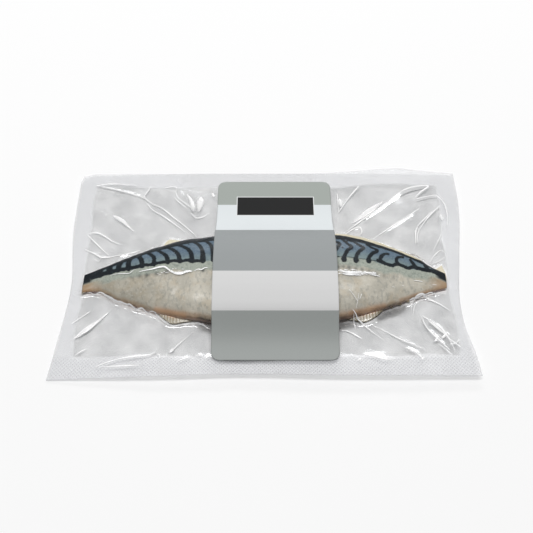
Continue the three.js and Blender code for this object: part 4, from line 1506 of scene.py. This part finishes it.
class FISHPACK_OT_pouch(bpy.types.Operator):
    """Drape both films of the pouch over the fish and add the sharp creases and the painted highlight
    strips
    """

    bl_idname = "fishpack.pouch"
    bl_label = "Build Pouch"

    def execute(self, context):
        settings = context.scene.fish_pack.pouch
        drape = drape_over_fish()
        film = film_material(settings)
        thickness = settings.thickness / MM
        build_film(drape, "base_film", "pouch_base_film", drape.base + thickness, thickness, film)
        build_film(drape, "top_film", "pouch_top_film", drape.top + thickness, thickness, film)
        build_creases_and_highlights(drape, crease_and_highlight_material(settings))
        return {"FINISHED"}


class FISHPACK_OT_label(bpy.types.Operator):
    """Lay the banded paper label over the pouch"""

    bl_idname = "fishpack.label"
    bl_label = "Build Label"

    def execute(self, context):
        settings = context.scene.fish_pack.label
        build_label(drape_over_fish(), settings.thickness / MM, label_material(settings))
        return {"FINISHED"}


class FISHPACK_OT_stage(bpy.types.Operator):
    """Set the floor, the lights and the camera"""

    bl_idname = "fishpack.stage"
    bl_label = "Build Stage"

    def execute(self, context):
        settings = context.scene.fish_pack.studio
        build_floor(floor_material(settings))
        build_world(settings.surround)
        add_softbox("key", KEY_PLACE, (0, 0, 0), KEY_SIZE, settings.key_power)
        add_softbox("back", BACK_PLACE, (0, 0, 0), BACK_SIZE, settings.key_power * BACK_SHARE)
        build_camera()
        return {"FINISHED"}


class FISHPACK_PT_sidebar(bpy.types.Panel):
    """Lists the pieces of the pack with their settings"""

    bl_idname = "FISHPACK_PT_sidebar"
    bl_label = "Vacuum-Packed Fillets"
    bl_space_type = "VIEW_3D"
    bl_region_type = "UI"
    bl_category = PANEL_TAB

    def draw(self, context):
        pack = context.scene.fish_pack
        for settings, operators in (
            (pack.fillets, (FISHPACK_OT_fillets, FISHPACK_OT_fins)),
            (pack.pouch, (FISHPACK_OT_pouch,)),
            (pack.label, (FISHPACK_OT_label,)),
            (pack.studio, (FISHPACK_OT_stage,)),
        ):
            box = self.layout.box()
            for name in settings.__annotations__:
                box.prop(settings, name)
            for operator in operators:
                box.operator(operator.bl_idname)


CLASSES = (
    FilletSettings,
    PouchSettings,
    LabelSettings,
    StudioSettings,
    PackSettings,
    FISHPACK_OT_fillets,
    FISHPACK_OT_fins,
    FISHPACK_OT_pouch,
    FISHPACK_OT_label,
    FISHPACK_OT_stage,
    FISHPACK_PT_sidebar,
)


def register():
    for cls in CLASSES:
        bpy.utils.register_class(cls)
    bpy.types.Scene.fish_pack = PointerProperty(type=PackSettings)


def unregister():
    del bpy.types.Scene.fish_pack
    for cls in reversed(CLASSES):
        bpy.utils.unregister_class(cls)


def main():
    register()
    bpy.ops.fishpack.fillets()
    bpy.ops.fishpack.fins()
    bpy.ops.fishpack.pouch()
    bpy.ops.fishpack.label()
    bpy.ops.fishpack.stage()


if __name__ == "__main__":
    main()
